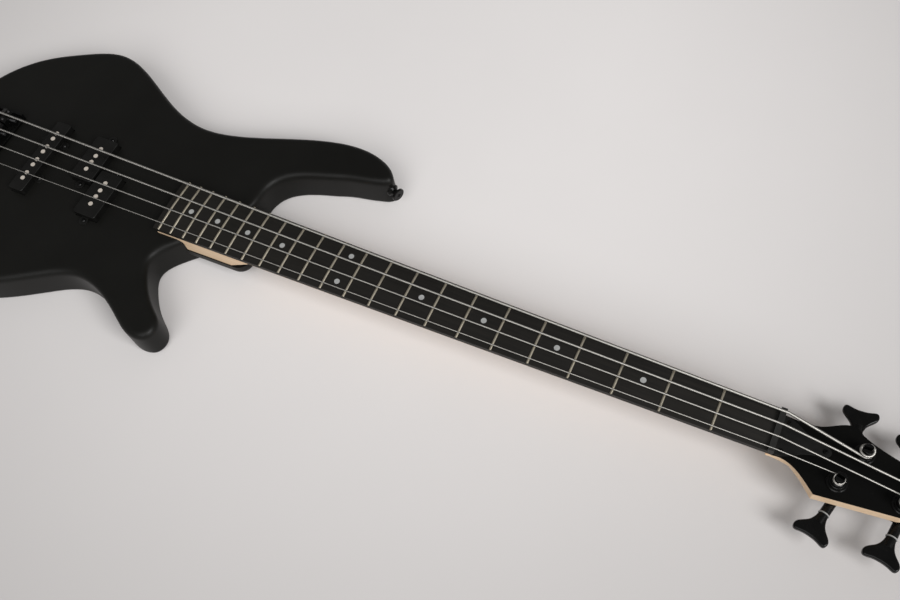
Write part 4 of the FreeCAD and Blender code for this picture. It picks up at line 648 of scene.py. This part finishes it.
wind, entry, leave = geometry_tree(
    "wound_string", {"Radius": "Float", "Pitch": "Float", "Sides": "Int", "Material": "Material"})
even = add(wind, "GeometryNodeResampleCurve", {"mode": "LENGTH"}, Curve=entry.outputs["Geometry"],
           Length=maths(wind, "DIVIDE", entry.outputs["Pitch"], RIDGE_POINTS))
reach = add(wind, "GeometryNodeSplineParameter").outputs["Length"]
count = maths(wind, "DIVIDE", reach, entry.outputs["Pitch"])
bulge = maths(wind, "ABSOLUTE", maths(wind, "SINE", maths(wind, "MULTIPLY", count, math.pi)))
girth = maths(wind, "MULTIPLY_ADD", bulge, RIDGE, VALLEY)
marked = add(wind, "GeometryNodeStoreNamedAttribute", {"data_type": "FLOAT", "domain": "POINT"},
             Geometry=even.outputs[0], Name="ridge", Value=bulge)
ring = add(wind, "GeometryNodeCurvePrimitiveCircle", Resolution=entry.outputs["Sides"],
           Radius=entry.outputs["Radius"])
swept = add(wind, "GeometryNodeCurveToMesh", Curve=marked.outputs[0], Profile_Curve=ring.outputs["Curve"],
            Scale=girth, Fill_Caps=True)
smooth = add(wind, "GeometryNodeSetShadeSmooth", Geometry=swept.outputs[0])
close_tree(wind, leave, smooth.outputs[0], entry.outputs["Material"])

# %% Path of a string
MM = 0.001
SCALE = 863.6 * MM
FRET_TOP = 49.5 * MM
HEAD_FACE = 38.5 * MM
SADDLE_LEVEL = FRET_TOP + 4.9 * MM
ANCHOR_LEVEL = 52.6 * MM
WALL_REAR = -42 * MM
WALL_FRONT = -38 * MM
PAST_WALL_REAR = 0.5 * MM
PAST_WALL_FRONT = 2 * MM
NUT_BEND = SCALE + 6.5 * MM
NUT_LIFT = 0.5 * MM
POST_RADIUS = 3.6 * MM
POST_GAP = 0.3 * MM
TURN_BASE = HEAD_FACE + 5.7 * MM
TURN_GAP = 0.5 * MM
TURN_STEPS = 28

# In millimetres: the radius, the sides at nut and bridge, how far the saddle's crown lies behind the
# end of the scale, and the pitch of the winding. Plain numbers: the turns on the post, their hand,
# and the corners of the tube.
Gauge = namedtuple("Gauge", "radius nut_side bridge_side crown turns hand pitch corners")
STRINGS = {
    "e": Gauge(1.335, 17.5, 28.5, 5.0, 1.5, 1, 0.64, 12),
    "a": Gauge(1.08, 17.5 / 3, 9.5, 3.6, 1.5, 1, 0.56, 10),
    "d": Gauge(0.825, -17.5 / 3, -9.5, 2.4, 2.5, -1, 0.48, 9),
    "g": Gauge(0.57, -17.5, -28.5, 1.4, 2.5, -1, 0.42, 8),
}
# In millimetres too: how far behind the crown the string bends
BEND_BEHIND = 3.5
post_of = {joint["child"]: Vector(joint["pos_m"]) for joint in frame["joints"] if joint["type"] == "hinge"}


def string_path(letter):
    """Points from the ball end over saddle and nut to the last turn on the post."""
    gauge = STRINGS[letter]
    radius = gauge.radius * MM
    bridge_side = gauge.bridge_side * MM
    nut = Vector((NUT_BEND, gauge.nut_side * MM, FRET_TOP + NUT_LIFT + radius))
    post = post_of["post_" + letter].copy()
    post.z = TURN_BASE + radius
    coil = POST_RADIUS + POST_GAP + radius
    away = nut - post
    start = math.atan2(away.y, away.x) + gauge.hand * math.acos(coil / math.hypot(away.x, away.y))
    points = [
        Vector((WALL_REAR - PAST_WALL_REAR, bridge_side, ANCHOR_LEVEL)),
        Vector((WALL_FRONT + PAST_WALL_FRONT, bridge_side, ANCHOR_LEVEL)),
        Vector(((-gauge.crown - BEND_BEHIND) * MM, bridge_side, SADDLE_LEVEL + radius)),
        nut,
    ]
    rise = 2 * radius + TURN_GAP
    for step in range(int(gauge.turns * TURN_STEPS) + 1):
        angle = start + gauge.hand * math.tau * step / TURN_STEPS
        lift = rise * step / TURN_STEPS
        points.append(post + Vector((coil * math.cos(angle), coil * math.sin(angle), lift)))
    return points


# %% Ball end
BALL_BEHIND = 2.9 * MM
BALL_BORE = 1.0 * MM
BALL_RADIUS = 2.6 * MM
BALL_WIDTH = 5 * MM
BALL_CORNERS = 28
# Radius, as a share of the ball's, and place along the width, between the two ends of the bore
BALL_PROFILE = ((0.92, -0.5), (1.0, -0.38), (1.0, -0.26), (0.8, -0.12),
                (0.8, 0.12), (1.0, 0.26), (1.0, 0.38), (0.92, 0.5))


def spool(name, middle, material):
    """A grooved ring turned about the Y axis, like the ball end of a string."""
    profile = [(BALL_BORE, -0.5)] + [(share * BALL_RADIUS, along) for share, along in BALL_PROFILE]
    profile.append((BALL_BORE, 0.5))
    shape = bmesh.new()
    rings = []
    for corner in range(BALL_CORNERS):
        angle = math.tau * corner / BALL_CORNERS
        out = Vector((math.cos(angle), 0, math.sin(angle)))
        rings.append([shape.verts.new(middle + out * radius + Vector((0, BALL_WIDTH * along, 0)))
                      for radius, along in profile])
    for here, there in zip(rings, rings[1:] + rings[:1]):
        for i in range(len(profile)):
            j = (i + 1) % len(profile)
            shape.faces.new((here[i], here[j], there[j], there[i]))
    smoothed(shape)
    return mesh_of(shape, name, material)


def join(piece, data):
    """Adds a mesh to a piece's own mesh."""
    shape = bmesh.new()
    shape.from_mesh(piece.data)
    shape.from_mesh(data)
    shape.to_mesh(piece.data)
    shape.free()
    bpy.data.meshes.remove(data)


# %% Strings on the bass
for letter, gauge in STRINGS.items():
    points = string_path(letter)
    line = bpy.data.curves.new("path_" + letter, "CURVE")
    line.dimensions = "3D"
    spline = line.splines.new("POLY")
    spline.points.add(len(points) - 1)
    for spot, point in zip(spline.points, points):
        spot.co = (*point, 1)
    base = placed("path_" + letter, line)
    string = grown("wound_string_" + letter, base, wind,
                   {"Radius": gauge.radius * MM, "Pitch": gauge.pitch * MM, "Sides": gauge.corners,
                    "Material": finishes["string_steel"]})
    ball = Vector((WALL_REAR - BALL_BEHIND, gauge.bridge_side * MM, ANCHOR_LEVEL))
    join(string, spool("ball_" + letter, ball, finishes["string_steel"]))
    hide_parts("string_" + letter)
    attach(string, "instrument")
    print(string.name, len(string.data.polygons), "faces")

# %% [markdown]
# ## Knob grips
# A knob needs ridges that fingers can hold. They repeat round a circle, which is what Geometry
# Nodes do best: points on a ring, one slim ridge on each, all made real at the end. A thin
# inlaid line on top shows which way the knob is turned.

# %% Ridge tree
BAR_SIDES = 6
BAR_TAPER = 0.6

grip, entry, leave = geometry_tree(
    "knob_grip",
    {"Count": "Int", "Radius": "Float", "Width": "Float", "Height": "Float", "Material": "Material"})
circle = add(grip, "GeometryNodeMeshCircle", Vertices=entry.outputs["Count"], Radius=entry.outputs["Radius"])
bar = add(grip, "GeometryNodeMeshCone", Vertices=BAR_SIDES,
          Radius_Top=maths(grip, "MULTIPLY", entry.outputs["Width"], BAR_TAPER),
          Radius_Bottom=entry.outputs["Width"], Depth=entry.outputs["Height"])
stood = add(grip, "GeometryNodeInstanceOnPoints", Points=circle.outputs[0], Instance=bar.outputs["Mesh"])
close_tree(grip, leave, stood.outputs[0], entry.outputs["Material"])

# %% Grips and pointers
GRIP_RIDGES = 44
GRIP_WIDTH = 0.00042
# Shares of the knob's radius and height
GRIP_CIRCLE = 0.915
GRIP_HEIGHT = 0.7
GRIP_FOOT = 0.21
POINTER_LENGTH = 0.62
POINTER_PLACE = 0.42
POINTER_WIDTH = 0.0009
POINTER_THICK = 0.0003
POINTER_RISE = 0.00008
POINTER_EDGE = 0.00012

for name in ("neck_volume", "bridge_volume", "tone"):
    low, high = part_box(name + "_knob")
    axis = (low + high) / 2
    radius = (high.x - low.x) / 2
    height = high.z - low.z
    seed = placed("seed_" + name, bpy.data.meshes.new("seed_" + name))
    ridges = grown(name + "_grip", seed, grip,
                   {"Count": GRIP_RIDGES, "Radius": radius * GRIP_CIRCLE, "Width": GRIP_WIDTH,
                    "Height": height * GRIP_HEIGHT, "Material": finishes["black_metal"]})
    ridges.data.transform(Matrix.Translation((axis.x, axis.y, low.z + GRIP_FOOT * height)))
    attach(ridges, name)
    mark = soft_edged_box((radius * POINTER_LENGTH, POINTER_WIDTH, POINTER_THICK),
                          (axis.x + radius * POINTER_PLACE, axis.y, high.z + POINTER_RISE),
                          POINTER_EDGE, segments=2)
    pointer = placed(name + "_pointer", mesh_of(mark, name + "_pointer", finishes["inlay"]))
    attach(pointer, name)
    print(ridges.name, len(ridges.data.polygons), "faces")

# %% [markdown]
# ## Foam under the pickups
# Each pickup is pushed up by a block of foam. Nobody sees it once the pickup is in, but foam is
# never a sharp box: its sides bulge and its edges are soft, so each block is a bevelled, swollen
# mesh that stays inside the space its CAD solid holds.

# %% Foam blocks
FOAM_SLACK = 0.0012
FOAM_SQUEEZE = 0.0006
FOAM_EDGE = 0.0016
FOAM_BULGE = 0.0004
# Two opposite corners of each block, seen from above
PADS = {
    "foam_thick": ((0.1124, -0.0078), (0.1376, 0.0444)),
    "foam_thin": ((0.1439, -0.0444), (0.1691, 0.0078)),
    "foam_bar": ((0.0568, -0.0451), (0.0726, 0.0451)),
}

low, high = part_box("pickup_pads")
for name, ((x0, y0), (x1, y1)) in PADS.items():
    middle = Vector(((x0 + x1) / 2, (y0 + y1) / 2, (low.z + high.z) / 2))
    size = (x1 - x0 - FOAM_SLACK, y1 - y0 - FOAM_SLACK, high.z - low.z - FOAM_SQUEEZE)
    block = soft_edged_box(size, middle, FOAM_EDGE, segments=3)
    bmesh.ops.subdivide_edges(block, edges=block.edges[:], cuts=2, use_grid_fill=True)
    in_order(block)
    for vert in block.verts:
        level = 1 - abs(vert.co.z - middle.z) / (high.z - low.z) * 2
        bulge = FOAM_BULGE * max(0.0, level)
        vert.co.x += math.copysign(bulge, vert.co.x - middle.x)
        vert.co.y += math.copysign(bulge, vert.co.y - middle.y)
    smoothed(block)
    pad = placed(name, mesh_of(block, name, finishes["foam"]))
    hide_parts("pickup_pads")
    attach(pad, "instrument")
print(len(PADS), "foam blocks")
